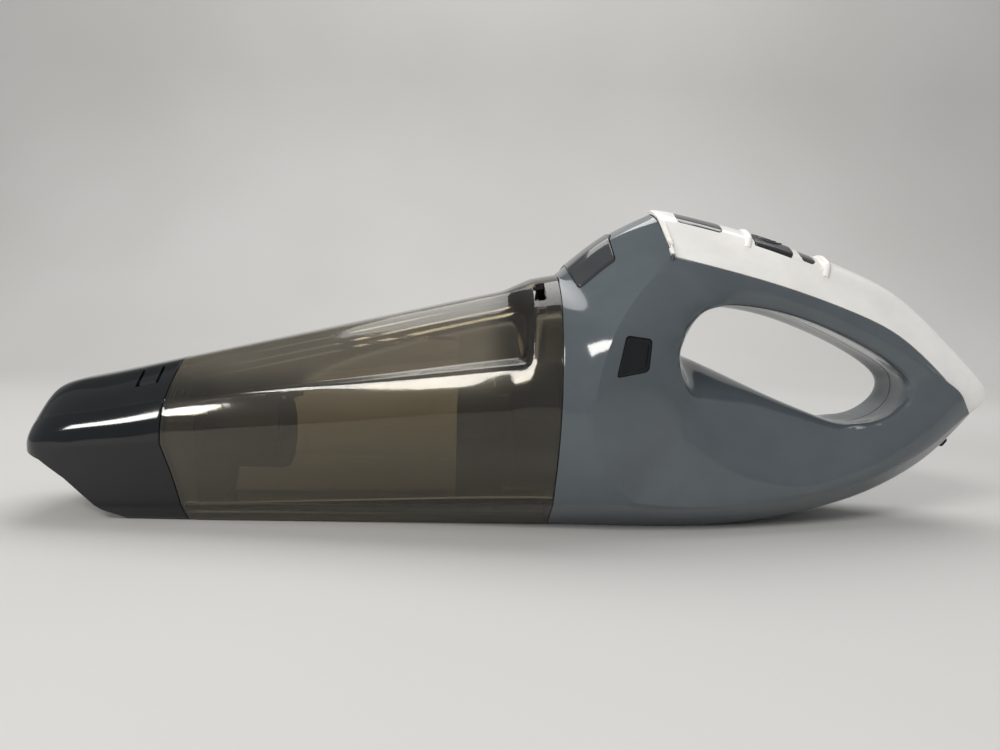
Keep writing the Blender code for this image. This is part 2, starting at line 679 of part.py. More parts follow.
def side_prism(outline, side, gap=0.0):
    """A prism through one side wall, from an outline in X and Z."""
    made = prism(grown(outline, gap), SIDE_FRAME, depth=40, rounding=1.6)
    made.location.y = side * mm(46, 0, 0).x
    return made


# ---------------------------------------------------------------- housing


def keep_out(tag, more, gap):
    """The wall over the faces with this tag, thicker by more on both sides, to cut its neighbours clear."""
    return shell_part(
        "keep_out", BODY, lambda f: f.material_index == tag, GREY_GLOSS, -more, WALL + 2 * more,
        gap=gap, helper=True,
    )


def screw_posts(housing, side):
    """Posts that meet on the middle plane. The right ones are bored through from outside."""
    along = Matrix.Rotation(math.radians(90), 4, "X")
    for x, z in SCREW_PLACES:
        def rod(radius, low, high):
            centre = Matrix.Translation(mm(x, side * (low + high) / 2, z))
            return cylinder("rod", radius, high - low, centre @ along, sides=16, helper=True)

        post = boolean(rod(4.6, SEAM_GAP / 2, 60), inset_solid(BODY, 0.9), "INTERSECT")
        boolean(post, keep_out(COVER_TAG, 0.4, -SEAM_GAP), "DIFFERENCE")
        boolean(housing, post, "UNION")
        if side < 0:
            boolean(housing, rod(1.6, -1, 10), "DIFFERENCE")
        else:
            boolean(housing, rod(1.6, -1, 30), "DIFFERENCE")
            boolean(housing, rod(3.4, 7, 70), "DIFFERENCE")


def half_housing(name, side):
    """One half of the motor housing, with its posts and the openings for what shows through it."""
    def belongs(face):
        return face.material_index == HOUSING_TAG and face.calc_center_median().y * side > 0

    housing = shell_part(name, BODY, belongs, GREY_GLOSS)
    screw_posts(housing, side)
    boolean(housing, through(RELEASE_OUTLINE, RELEASE_FRAME, RELEASE_DEPTH), "DIFFERENCE")
    boolean(housing, side_prism(WINDOW_OUTLINE, side, SEAM_GAP), "DIFFERENCE")
    recess = skin_piece("recess", BODY, through(CHARGE_OUTLINE, CHARGE_FRAME), -2, 3.1)
    boolean(housing, recess, "DIFFERENCE")
    hole = cylinder("hole", 3.2, 12, CHARGE_FRAME, sides=20, helper=True)
    boolean(housing, hole, "DIFFERENCE")
    return smooth(housing)


half_housing("left_housing", -1)
half_housing("right_housing", 1)

for number, (x, z) in enumerate(SCREW_PLACES, 1):
    turn = Matrix.Rotation(math.radians(-90), 4, "X")
    shank = cylinder("shank", 1.25, 14.0, Matrix.Translation(mm(0, 0, -6.5)), sides=12, helper=True)
    head = cylinder(
        f"housing_screw_{number}", 2.8, 2.0, Matrix.Translation(mm(0, 0, 1.0)), STEEL, sides=16
    )
    for piece in (head, shank):
        piece.data.transform(piece.matrix_world)
        piece.matrix_world = Matrix.Translation(mm(x, 7.3, z)) @ turn
    boolean(head, shank, "UNION")
    slot = box("slot", (3.8, 0.8, 1.2), head.matrix_world @ Matrix.Translation(mm(0, 0, 2)), helper=True)
    boolean(head, slot, "DIFFERENCE")
    smooth(head)

for name, side in (("left_vent_cover", -1), ("right_vent_cover", 1)):
    smooth(skin_piece(name, BODY, side_prism(WINDOW_OUTLINE, side), 0.5, 1.7, BLACK_GLOSS))


# ---------------------------------------------------------------- white cover and controls

cover = shell_part("top_cover", BODY, lambda f: f.material_index == COVER_TAG, WHITE_GLOSS)
boolean(cover, keep_out(HOUSING_TAG, 0.06, SEAM_GAP), "DIFFERENCE")
fence = plate(
    "fence", [rounded(grown(PAD_OUTLINE, 1.1), 4.5, 5), rounded(grown(PAD_OUTLINE, -1.1), 4.0, 5)],
    24, CONTROL_FRAME, helper=True,
)
boolean(cover, skin_piece("fence", BODY, fence, -0.9, 1.9), "UNION")
pad = plate("pad", [rounded(grown(PAD_OUTLINE, -1.1), 4.0, 5)], 24, CONTROL_FRAME, helper=True)
boolean(cover, skin_piece("pad", BODY, pad, -2.5, 3.3), "DIFFERENCE")
boolean(cover, through(POWER_OUTLINE, CONTROL_FRAME), "DIFFERENCE")
boolean(cover, through(INDICATOR_OUTLINE, CONTROL_FRAME), "DIFFERENCE")
boolean(cover, through(DISPLAY_OUTLINE, DISPLAY_FRAME), "DIFFERENCE")
smooth(cover)

smooth(skin_piece("display_lens", BODY, prism(DISPLAY_OUTLINE, DISPLAY_FRAME), 0.15, 1.4, DARK_LENS))
smooth(skin_piece("indicator_lens", BODY, prism(INDICATOR_OUTLINE, CONTROL_FRAME), 0.95, 1.1, DARK_LENS))
smooth(skin_piece("power_button", BODY, prism(POWER_OUTLINE, CONTROL_FRAME), 0.35, 3.0, BLACK_MATTE))
smooth(skin_piece("release_button", BODY, prism(RELEASE_OUTLINE, RELEASE_FRAME, RELEASE_DEPTH), -0.7, 2.6, DARK_LENS))
charge = skin_piece("charge_cover", BODY, prism(CHARGE_OUTLINE, CHARGE_FRAME), 0.1, 0.7, RUBBER)
tab = box("tab", (4.4, 7.0, 3.6), CHARGE_FRAME @ Matrix.Translation(mm(2.6, 0, 0.4)), helper=True, rounding=0.6)
smooth(boolean(charge, tab, "UNION"))

# The latch: a plate under the button, and two arms that reach into the bin's collar.
latch = box("latch", (18, 55, 2.4), Matrix.Translation(mm(21, 0, 87.2)), BLACK_MATTE)
stem = box("stem", (6, 12, 40), Matrix.Translation(mm(24, 0, 107)), helper=True)
boolean(latch, boolean(stem, inset_solid(BODY, 2.5), "INTERSECT"), "UNION")
for side in (-1, 1):
    arm = box("arm", (24, 5, 2.6), Matrix.Translation(mm(10.4, side * 25, 86.6)), helper=True)
    boolean(latch, arm, "UNION")
    hook = box("hook", (3.6, 4.4, 26), Matrix.Translation(mm(0.2, side * 25, 99.5)), helper=True)
    boolean(latch, boolean(hook, inset_solid(CANISTER, WALL + 0.6), "INTERSECT"), "UNION")
smooth(latch)


def coil(name, x, z, length, radius, turns, thick):
    """A compression spring standing on (x, 0, z)."""
    steps = 9
    count = int(turns * steps)
    points = [
        (x + radius * math.cos(2 * math.pi * k / steps), radius * math.sin(2 * math.pi * k / steps),
         z + length * k / count)
        for k in range(count + 1)
    ]
    return wire(name, points, thick, STEEL, resolution=1)


coil("release_spring", 24, 70.4, 14.6, 3.6, 4, 0.45)

# ---------------------------------------------------------------- board and display

BOARD_FRAME = facing(94, 114, 13.9)


def on_board(along, across, up):
    return BOARD_FRAME @ Matrix.Translation(mm(along, across, up))


box("control_board", (64, 20, 1.6), on_board(0, 0, 0), BOARD_GREEN)
box("display_module", (18, 15, 3.0), on_board(-23, 0, 2.7), BLACK_MATTE, rounding=0.4)
switch = box("power_switch", (6.4, 6.4, 2.6), on_board(10.6, 0, 2.5), BLACK_MATTE)
knob = cylinder("knob", 1.7, 2.4, on_board(10.6, 0, 4.2), sides=16, helper=True)
smooth(boolean(switch, knob, "UNION"))
cylinder("indicator_led", 1.5, 4.4, on_board(25.4, 0, 3.4), FILTER_PAPER, sides=16)

# ---------------------------------------------------------------- motor, fan and bulkhead

wall_outline = [
    (y, min(z, 82.5)) for y, z in section_outline(BODY, 13.2, WALL + 0.5)
]
holes = [circle(3.4, (0, MOTOR_Z), 8)]
for count, radius in ((5, 8.6), (8, 16.4)):
    holes += [circle(3.4, (p[0], p[1] + MOTOR_Z), 8) for p in circle(radius, sides=count)]
plate("motor_bulkhead", [wall_outline, *holes], 1.6, upright(12.9), BLACK_MATTE)

ring(
    "fan_housing",
    ((31, 34), (31, 16), (13, 16), (13, 17.4), (29.4, 17.4), (29.4, 32.6), (8, 32.6), (8, 34)),
    along_x(0), BLACK_MATTE,
)
impeller = cylinder("impeller", 27.0, 1.6, along_x(30.4), BLACK_MATTE, sides=28)
boolean(impeller, cylinder("hub", 4.6, 11, along_x(25.8), sides=16, helper=True), "UNION")
for k in range(9):
    blade = box("blade", (9.5, 21.5, 1.3), Matrix.Identity(4), helper=True)
    spin = Matrix.Rotation(2 * math.pi * k / 9, 4, "X")
    sweep = Matrix.Rotation(math.radians(28), 4, "X")
    place = Matrix.Translation(mm(25.2, 0, MOTOR_Z)) @ spin @ Matrix.Translation(mm(0, 15.4, 0)) @ sweep
    blade.matrix_world = place
    boolean(impeller, blade, "UNION")
boolean(impeller, cylinder("bore", SHAFT_RADIUS + 0.3, 40, along_x(26), sides=16, helper=True), "DIFFERENCE")
smooth(impeller)
cylinder("motor_shaft", SHAFT_RADIUS, 54, along_x(48), STEEL, sides=16)
ring("motor", ((15, 71.4), (15, 35), (2.2, 35), (2.2, 71.4)), along_x(0), STEEL, sides=32)
ring("motor_mount", tube_profile(15.4, 20, 44, 52), along_x(0), RUBBER)

# ---------------------------------------------------------------- cells and leads

CELL_FRAME = Matrix.Translation(mm(110, 0, 22.0)) @ Matrix.Rotation(math.radians(90 - 3.6), 4, "Y")
for number, side in ((1, -1), (2, 1)):
    frame = CELL_FRAME @ Matrix.Translation(mm(0, side * 9.5, 0))
    cylinder(f"battery_cell_{number}", 9.1, CELL_LENGTH, frame, CELL_BLUE, sides=24)
holder = [circle(9.4, (0, -9.5), 24), circle(9.4, (0, 9.5), 24)]
plate("cell_holder", [rounded(rectangle(22, 41.5), 6), *holder], 10, CELL_FRAME, BLACK_MATTE)
CHARGE_INWARD = CHARGE_FRAME @ Matrix.Translation(mm(0, 0, -9.2))
cylinder("charge_socket", 4.2, 9.6, CHARGE_INWARD, BLACK_MATTE, sides=20)
route = ((75, 14, 28), (62, 21, 42), (47, 24, 62), (44, 17, 88), (54, 9, 104), (66, 6, 117.5))
wire("lead_red", smooth_route(route, 3), 0.8, WIRE_RED, resolution=1)
wire("lead_black", smooth_route([(x, -y, z) for x, y, z in route], 3), 0.8, WIRE_BLACK, resolution=1)

# ---------------------------------------------------------------- bin

dust_bin = shell_part("dust_bin", CANISTER, lambda f: f.material_index < JOINT_SECTION, SMOKED)
for z, start in ((76.6, -84.3), (30.7, -96.3)):
    rib = box("rib", (-31.5 - start, 130, 1.3), Matrix.Translation(mm((start - 31.5) / 2, 0, z)), helper=True)
    ribs = skin_piece("rib", CANISTER, rib, 0.9, 3.4)
    boolean(dust_bin, ribs, "UNION")
x, y, length, width = LATCH_SLOT
for side in (-1, 1):
    slot = box("slot", (length, width, 30), Matrix.Translation(mm(x, side * y, 100)), helper=True)
    boolean(dust_bin, slot, "DIFFERENCE")
smooth(dust_bin)

# ---------------------------------------------------------------- nozzle and inlet duct

nozzle = shell_part("front_nozzle", CANISTER, lambda f: f.material_index >= JOINT_SECTION, BLACK_GLOSS)
SNAP_SLOT = [(-160, 13.1), (-158.8, 13.1), (-158.8, 21), (-152, 21), (-152, 13.1), (-150.8, 13.1),
             (-150.8, 22.3), (-160, 22.3)]
for side in (-1, 1):
    slot = plate("slot", [[(x, side * y) for x, y in SNAP_SLOT]], 28, Matrix.Translation(mm(0, 0, 66)), helper=True)
    boolean(nozzle, slot, "DIFFERENCE")
mouth = [(-230, -20), (-158, -20), (-164, 0.6), (-172, 4.2), (-186, 17.4), (-196, 24.6), (-204, 27.2), (-230, 30)]
boolean(nozzle, plate("mouth", [mouth], 90, SIDE_FRAME, helper=True), "DIFFERENCE")
smooth(nozzle)

duct = shell_part("inlet_duct", CANISTER, lambda f: f.material_index in SLEEVE_TAGS, BLACK_MATTE, WALL + 0.5, 1.6)
DUCT_Z = 33.0
duct_plate = plate(
    "duct_plate", [section_outline(CANISTER, -134.6, WALL + 1.2), circle(14.8, (0, DUCT_Z), 24)],
    2.0, upright(-135.6), helper=True,
)
boolean(duct, duct_plate, "UNION")
pipe = plate(
    "pipe", [circle(15.6, (0, DUCT_Z), 24), circle(14, (0, DUCT_Z), 24)], 31, upright(-120.6), helper=True
)
boolean(duct, pipe, "UNION")
for side in (-1, 1):
    root = box("root", (5, 2.4, 11.5), Matrix.Translation(mm(-107.9, side * 12.2, DUCT_Z + 13.6)), helper=True)
    boolean(duct, root, "UNION")
    ear = box("ear", (7, 2.0, 4.6), Matrix.Translation(mm(-103.6, side * 12.2, DUCT_Z + 16.8)), helper=True)
    boolean(duct, ear, "UNION")
PIN_TURN = Matrix.Rotation(math.radians(90), 4, "X")
PIN_PLACE = Matrix.Translation(mm(-102.5, 0, DUCT_Z + 16.8)) @ PIN_TURN
boolean(duct, cylinder("pin_hole", 1.25, 40, PIN_PLACE, sides=16, helper=True), "DIFFERENCE")
smooth(duct)
cylinder("flap_pin", 0.9, 28.6, PIN_PLACE, STEEL, sides=12)
flap = plate("flap_valve", [circle(15.0, (0, DUCT_Z), 24)], 1.4, upright(-103.9), RUBBER)
barrel = cylinder("barrel", 2.3, 20, PIN_PLACE, sides=16, helper=True)
boolean(flap, barrel, "UNION")
boolean(flap, cylinder("pin_bore", 1.3, 40, PIN_PLACE, sides=16, helper=True), "DIFFERENCE")
smooth(flap)
pivot = bpy.data.objects.new("flap_pivot", None)  # the flap swings about the pin
PARTS.objects.link(pivot)
pivot.location = mm(-102.5, 0, DUCT_Z + 16.8)
bpy.context.view_layer.update()
flap.parent = pivot
flap.matrix_parent_inverse = pivot.matrix_world.inverted()

# ---------------------------------------------------------------- filter

frame = shell_part("filter_frame", CANISTER, lambda f: f.material_index == 2, BLACK_MATTE, WALL + 0.6, 1.4)
front = plate(
    "front", [section_outline(CANISTER, -28.6, WALL + 1.3), circle(25, (0, MOTOR_Z), 28)],
    1.8, upright(-28.6), helper=True,
)
boolean(frame, front, "UNION")
basket = plate(
    "basket", [circle(27.4, (0, MOTOR_Z), 28), circle(25, (0, MOTOR_Z), 28)], 22, upright(-18.4), helper=True
)
smooth(boolean(frame, basket, "UNION"))
pleats = []
for k in range(72):
    angle = math.pi * k / 36
    radius = 24.2 if k % 2 else 19.0
    pleats.append((radius * math.cos(angle), MOTOR_Z + radius * math.sin(angle)))
plate("pleated_filter", [pleats, circle(13, (0, MOTOR_Z), 24)], 15, upright(-18.6), FILTER_PAPER)
mesh_holes = [
    circle(4.2, (11.6 * a + 5.8 * (b % 2), MOTOR_Z + 10 * b), 6)
    for b in range(-1, 2) for a in range(-2, 3)
    if math.hypot(11.6 * a + 5.8 * (b % 2), 10 * b) < 20
]
plate("filter_screen", [circle(24.4, (0, MOTOR_Z), 28), *mesh_holes], 0.8, upright(-28.4), STEEL)
ring("filter_seal", tube_profile(24, 27.6, -7.0, 11.6), along_x(0), RUBBER)

# ---------------------------------------------------------------- tidy up

for helper in list(HELPERS.objects):
    if helper.name.startswith(("core", "body_form", "canister_form")):
        bpy.data.objects.remove(helper)
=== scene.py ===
import math

import bmesh
import bpy
from mathutils import Matrix, Vector


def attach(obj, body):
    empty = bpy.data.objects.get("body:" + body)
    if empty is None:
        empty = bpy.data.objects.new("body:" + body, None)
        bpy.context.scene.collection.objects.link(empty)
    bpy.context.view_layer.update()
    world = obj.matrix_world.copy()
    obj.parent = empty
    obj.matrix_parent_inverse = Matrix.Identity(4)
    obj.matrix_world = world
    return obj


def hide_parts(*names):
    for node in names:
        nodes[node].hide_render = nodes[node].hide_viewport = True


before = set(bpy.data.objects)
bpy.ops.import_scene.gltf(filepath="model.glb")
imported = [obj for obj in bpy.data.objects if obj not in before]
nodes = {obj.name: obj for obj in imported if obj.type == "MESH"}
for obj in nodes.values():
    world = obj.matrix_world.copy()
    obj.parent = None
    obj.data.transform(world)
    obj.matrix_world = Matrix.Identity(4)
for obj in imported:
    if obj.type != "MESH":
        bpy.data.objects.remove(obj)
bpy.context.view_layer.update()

# ---------------------------------------------------------------- camera, table and lamps
# A handheld cordless vacuum cleaner stands on its flat belly, seen square from its left side.
# The table is one pale sheet that curves up behind, under soft boxes and a dim even sky.

MM = 0.001


def mm(*values):
    """A vector in metres from sizes in millimetres."""
    return Vector(values) * MM


YAW, PITCH, ROLL = (math.radians(a) for a in (2.9, 5.0, 1.5))
EYE_PLACE = mm(-28.5, -330, 88.8)
ahead = Vector((
    math.sin(YAW) * math.cos(PITCH), math.cos(YAW) * math.cos(PITCH), -math.sin(PITCH)
))
level = Vector((math.cos(YAW), -math.sin(YAW), 0))
upward = level.cross(ahead)
right = level * math.cos(ROLL) + upward * math.sin(ROLL)
eye = bpy.data.cameras.new("eye")
eye.lens = 27.04
eye.sensor_width = 36.0
eye.clip_start, eye.clip_end = 0.01, 20.0
camera = bpy.data.objects.new("eye", eye)
bpy.context.scene.collection.objects.link(camera)
turned = Matrix((right, right.cross(ahead), -ahead)).transposed()
camera.matrix_world = Matrix.Translation(EYE_PLACE) @ turned.to_4x4()
bpy.context.scene.camera = camera
bpy.context.scene.view_settings.view_transform = "Standard"


def soft_box(name, place, aim, size, watts, colour=(1, 1, 1)):
    lamp = bpy.data.lights.new(name, "AREA")
    lamp.shape = "RECTANGLE"
    lamp.size, lamp.size_y = size
    lamp.energy = watts
    lamp.color = colour
    held = bpy.data.objects.new(name, lamp)
    bpy.context.scene.collection.objects.link(held)
    held.location = place
    held.rotation_euler = (Vector(aim) - Vector(place)).to_track_quat("-Z", "Y").to_euler()


WINDOW_LIGHT = (1, 0.985, 0.955)
soft_box("window_box", (-0.55, -0.85, 0.95), (-0.05, 0.0, 0.05), (0.50, 0.26), 7.0, WINDOW_LIGHT)
soft_box("side_box", (-0.86, -0.70, 0.50), (-0.17, 0.0, 0.04), (0.34, 0.12), 3.4, WINDOW_LIGHT)
soft_box("overhead_box", (0.15, 0.55, 1.35), (0.0, 0.1, 0.05), (1.5, 1.0), 14.5)

sky = bpy.data.worlds.new("sky")
sky.use_nodes = True
sky.node_tree.nodes["Background"].inputs["Color"].default_value = (0.93, 0.95, 1.0, 1)
sky.node_tree.nodes["Background"].inputs["Strength"].default_value = 0.36
bpy.context.scene.world = sky


class Value:
    """A socket of a material's nodes. Arithmetic on it adds Math nodes."""

    def __init__(self, tree, socket):
        self.tree = tree
        self.socket = socket

    def node(self, kind, settings=(), inputs=(), output=0):
        """Adds any node: its settings first, then the values or links of its sockets."""
        made = self.tree.nodes.new("ShaderNode" + kind)
        for key, value in dict(settings).items():
            setattr(made, key, value)
        for key, value in dict(inputs).items():
            socket = made.inputs[key]
            if isinstance(value, Value):
                self.tree.links.new(value.socket, socket)
            elif isinstance(value, tuple) and socket.type == "RGBA":
                socket.default_value = (*value[:3], 1)
            else:
                socket.default_value = value
        return Value(self.tree, made.outputs[output])

    def maths(self, operation, *values):
        return self.node("Math", {"operation": operation}, dict(enumerate(values)))

    def __add__(self, other):
        return self.maths("ADD", self, other)

    def __sub__(self, other):
        return self.maths("SUBTRACT", self, other)

    def __rsub__(self, other):
        return self.maths("SUBTRACT", other, self)

    def __mul__(self, other):
        return self.maths("MULTIPLY", self, other)

    __radd__, __rmul__ = __add__, __mul__

    def from_to(self, low, high):
        """0 at low and below, 1 at high and above, and a soft step between."""
        return self.node(
            "MapRange", {"interpolation_type": "SMOOTHSTEP"},
            {"Value": self, "From Min": low, "From Max": high},
        )

    def noise(self, scale, detail=2.0, roughness=0.5, stretch=(1, 1, 1), turn=(0, 0, 0)):
        """Cloudy noise over these coordinates, in features per metre."""
        place = self
        if stretch != (1, 1, 1) or turn != (0, 0, 0):
            place = self.node("Mapping", {}, {"Vector": self, "Scale": stretch, "Rotation": turn})
        return self.node(
            "TexNoise", {}, {"Vector": place, "Scale": scale, "Detail": detail, "Roughness": roughness}
        )

    def mixed(self, first, second):
        """The first colour where this is 0, the second where it is 1."""
        return self.node(
            "Mix", {"data_type": "RGBA"}, {"Factor": self, 6: first, 7: second}, output=2
        )

    def axis(self, name):
        return self.node("SeparateXYZ", {}, {0: self}, output="XYZ".index(name))


def material_start(name):
    """A new node material, the coordinates of its piece in metres, and its output node."""
    made = bpy.data.materials.new(name)
    made.use_nodes = True
    tree = made.node_tree
    tree.nodes.clear()
    end = tree.nodes.new("ShaderNodeOutputMaterial")
    place = Value(tree, tree.nodes.new("ShaderNodeTexCoord").outputs["Object"])
    return made, place, end


def finished(made, end, shader):
    made.node_tree.links.new(shader.socket, end.inputs["Surface"])
    return made


def shade(colour, factor):
    return tuple(channel * factor for channel in colour)


def table_sheet():
    made, place, end = material_start("pale_sheet")
    weave = place.noise(260, 3, 0.6)
    tone = place.noise(2.2, 2).from_to(0.3, 0.7)
    bump = place.node("Bump", {}, {"Strength": 0.12, "Distance": 0.0004, "Height": weave})
    return finished(made, end, place.node("BsdfPrincipled", {}, {
        "Base Color": tone.mixed((0.53, 0.522, 0.50), (0.575, 0.568, 0.55)),
        "Roughness": 0.62 + weave * 0.12, "Normal": bump,
    }))


SHEET_HALF_WIDTH, SHEET_FRONT_Y, SHEET_TOP_Z = 2.4, -2.2, 2.6
BEND_START_Y, BEND_RADIUS, BEND_STEPS = 0.55, 0.5, 12

bm = bmesh.new()
edge = bm.edges.new([
    bm.verts.new((x, SHEET_FRONT_Y, 0)) for x in (-SHEET_HALF_WIDTH, SHEET_HALF_WIDTH)
])
bend_angles = [k * math.pi / (2 * BEND_STEPS) for k in range(BEND_STEPS + 1)]
route = [
    (BEND_START_Y + BEND_RADIUS * math.sin(a), BEND_RADIUS - BEND_RADIUS * math.cos(a))
    for a in bend_angles
]
for y, z in [*route, (BEND_START_Y + BEND_RADIUS, SHEET_TOP_Z)]:
    drawn = bmesh.ops.extrude_edge_only(bm, edges=[edge])["geom"]
    edges = [g for g in drawn if isinstance(g, bmesh.types.BMEdge)]
    edge = next(e for e in edges if all(v in drawn for v in e.verts))
    for v in edge.verts:
        v.co.y, v.co.z = y, z
bmesh.ops.recalc_face_normals(bm, faces=bm.faces)
sheet = bpy.data.meshes.new("table_sheet")
bm.to_mesh(sheet)
bm.free()
sheet.shade_smooth()
sheet.materials.append(table_sheet())
table = bpy.data.objects.new("table_sheet", sheet)
bpy.context.scene.collection.objects.link(table)

# ---------------------------------------------------------------- motor, fan and bulkhead
# A can motor in a rubber ring turns a nine-bladed fan inside a moulded ring, behind a holed wall.
# The can and the shaft are drawn and turned steel, and the rest is black moulded plastic.

SCRATCH_GREY = (0.30, 0.31, 0.32)
PALE = 0.5  # scratches don't show on a colour lighter than this


def moulded(name, colour, roughness, grain=0.0, scuffs=0.0, dust=0.0, coat=0.0, peel=0.04):
    """Injection-moulded plastic: faint flow marks, wiped scuffs, dust that settles, orange peel."""
    made, place, end = material_start(name)
    flow = place.noise(34, 4, 0.6, (1, 1.6, 1.3)).from_to(0.3, 0.75)
    tint = flow.mixed(shade(colour, 0.93), shade(colour, 1.07))
    rough = roughness + flow * 0.03
    if scuffs:
        lines = place.noise(240, 3, 0.55, (0.35, 1.0, 7.0), (0.25, 0.5, 0.1)).from_to(0.66, 0.74)
        crossed = place.noise(210, 3, 0.55, (5.0, 1.0, 0.3), (0.1, -0.7, 0.4)).from_to(0.68, 0.75)
        worn = (lines + crossed) * place.noise(22, 2).from_to(0.46, 0.68)
        rough = rough + worn * (0.35 * scuffs)
        scratched = colour if max(colour) > PALE else SCRATCH_GREY
        tint = (worn * (0.25 * scuffs)).mixed(tint, scratched)
    if dust:
        upright = place.node("NewGeometry", output="Normal").axis("Z").from_to(0.1, 1.0)
        specks = place.noise(2600, 2, 0.7).from_to(0.70, 0.80)
        settled = (upright * 0.8 + 0.2) * (specks * 0.8 + place.noise(60, 4).from_to(0.45, 0.8) * 0.12)
        tint = (settled * dust).mixed(tint, (0.55, 0.54, 0.52))
        rough = rough + settled * (0.4 * dust)
    height = place.noise(1500, 2, 0.6) * grain + place.noise(420, 1) * peel
    bump = place.node("Bump", {}, {"Strength": 1.0, "Distance": 0.00006, "Height": height})
    return finished(made, end, place.node("BsdfPrincipled", {}, {
        "Base Color": tint, "Roughness": rough, "Coat Weight": coat, "Coat Roughness": 0.04,
        "Normal": bump,
    }))


def brushed_steel(name, colour, roughness, stretch):
    made, place, end = material_start(name)
    marks = place.noise(900, 4, 0.7, stretch)
    stain = place.noise(80, 3).from_to(0.4, 0.8)
    bump = place.node("Bump", {}, {"Strength": 0.35, "Distance": 0.00003, "Height": marks})
    return finished(made, end, place.node("BsdfPrincipled", {}, {
        "Base Color": stain.mixed(colour, shade(colour, 0.8)), "Metallic": 1.0,
        "Roughness": roughness + marks * 0.12 + stain * 0.08, "Normal": bump,
    }))


def rubber(name):
    made, place, end = material_start(name)
    bloom = place.noise(140, 4).from_to(0.35, 0.8)
    fibres = place.noise(1400, 3, 0.7)
    bump = place.node("Bump", {}, {"Strength": 0.6, "Distance": 0.00008, "Height": fibres})
    return finished(made, end, place.node("BsdfPrincipled", {}, {
        "Base Color": bloom.mixed((0.016, 0.016, 0.017), (0.035, 0.035, 0.036)),
        "Roughness": 0.62 + bloom * 0.2, "Normal": bump,
    }))


def dress(material, *names):
    """Gives CAD nodes their material."""
    for name in names:
        data = nodes[name].data
        data.materials.clear()
        data.materials.append(material)


black_matte = moulded("black_matte_plastic", (0.022, 0.022, 0.024), 0.46, grain=0.6, dust=0.15)
steel = brushed_steel("turned_steel", (0.60, 0.60, 0.61), 0.24, (1, 14, 14))
soft_rubber = rubber("soft_rubber")
dress(black_matte, "motor_bulkhead", "fan_housing", "impeller")
dress(steel, "motor_shaft", "release_spring", "flap_pin")
dress(brushed_steel("motor_can_steel", (0.56, 0.56, 0.56), 0.30, (16, 1, 1)), "motor")
dress(soft_rubber, "motor_mount")

# ---------------------------------------------------------------- battery, board and leads
# Two cells in printed sleeves sit in a moulded holder, and wires run up to a small board.
# The board carries the display module, the switch under the power button and the indicator.


def printed_board():
    """Green solder mask over copper tracks."""
    made, place, end = material_start("circuit_board")
    tracks = place.node("TexBrick", {"offset": 0.37, "squash": 0.6}, {
        "Vector": place, "Scale": 260, "Mortar Size": 0.12, "Mortar Smooth": 0.2,
    }, output=1)
    shown = tracks * place.noise(45, 2).from_to(0.35, 0.5)
    bump = place.node("Bump", {}, {"Strength": 0.5, "Distance": 0.00005, "Height": shown})
    return finished(made, end, place.node("BsdfPrincipled", {}, {
        "Base Color": shown.mixed((0.012, 0.11, 0.045), (0.03, 0.20, 0.09)),
        "Roughness": 0.34 + shown * 0.1, "Normal": bump,
    }))


cell_sleeve = moulded("cell_sleeve_film", (0.03, 0.10, 0.30), 0.30, scuffs=0.3)
dress(cell_sleeve, "battery_cell_1", "battery_cell_2")
dress(black_matte, "cell_holder", "display_module", "power_switch", "charge_socket", "latch")
dress(printed_board(), "control_board")
dress(moulded("led_lens", (0.82, 0.80, 0.74), 0.18), "indicator_led")
dress(moulded("red_insulation", (0.45, 0.02, 0.018), 0.34), "lead_red")
dress(moulded("black_insulation", (0.016, 0.016, 0.017), 0.34), "lead_black")
dress(steel, "housing_screw_1", "housing_screw_2", "housing_screw_3", "housing_screw_4")

# ---------------------------------------------------------------- motor housing
# Two glossy grey halves close on the middle plane round the handle's loop, on four screw posts.
# A broad crease runs round each side, and the collar in front is a plain arch for the bin.

WALL = 2.2
SEAM_GAP = 0.3
BELLY_SNAP = 0.35
BIN_JOINT_X_LOW, BIN_JOINT_X_HIGH = 8.0, 10.8
COLLAR_TOP_Z = 103.5
ARCH_HALF_WIDTH, ARCH_CENTRE_Z, ARCH_HEIGHT = 52.5, 45.0, 59.5
KEEL = ((0.0, 0.0), (24.0, 0.0), (41.0, 13.0), (46.8, 26.0), (51.0, 39.5))
FIT_ROUNDS, FIT_SHARE, FINE = 3, 0.8, 3
MOST_SHELL_FACTOR = 1.35
RIM_ROUND = 0.28
COLLAR_EDGE, BACK_EDGE, ARC_EDGE, CORNER_EDGE = 1.0, 0.55, 0.85, 0.8
SCOOP_EDGE, HANDLE_EDGE = 0.3, 0.1
RIM_EDGE, RIM_SOFT_EDGE = 0.35, 0.1
ARC_ANGLE = 13  # the arcs on the sides are shaded as edges, though they are shallow
HOUSING, COVER = 0, 1
COVER_RAYS = (17, 25)  # the cover lies between these rays of the body
KEEL_RAY = 7  # the belly's edge meets the collar on this ray
FIRST_SOFT_RAY, LAST_SCOOP_RAY = 3, 13  # the scoop under the loop lies between these


def arch(degrees):
    angle = math.radians(degrees)
    return ARCH_HALF_WIDTH * math.cos(angle), ARCH_CENTRE_Z + ARCH_HEIGHT * math.sin(angle)


def collar_x(z):
    """The bin and the body meet on a plane that leans back a little."""
    return BIN_JOINT_X_LOW + (BIN_JOINT_X_HIGH - BIN_JOINT_X_LOW) * z / COLLAR_TOP_Z


collar = [(collar_x(z), y, z) for y, z in (*KEEL, *map(arch, (10, 26, 40, 55, 73, 90)))]

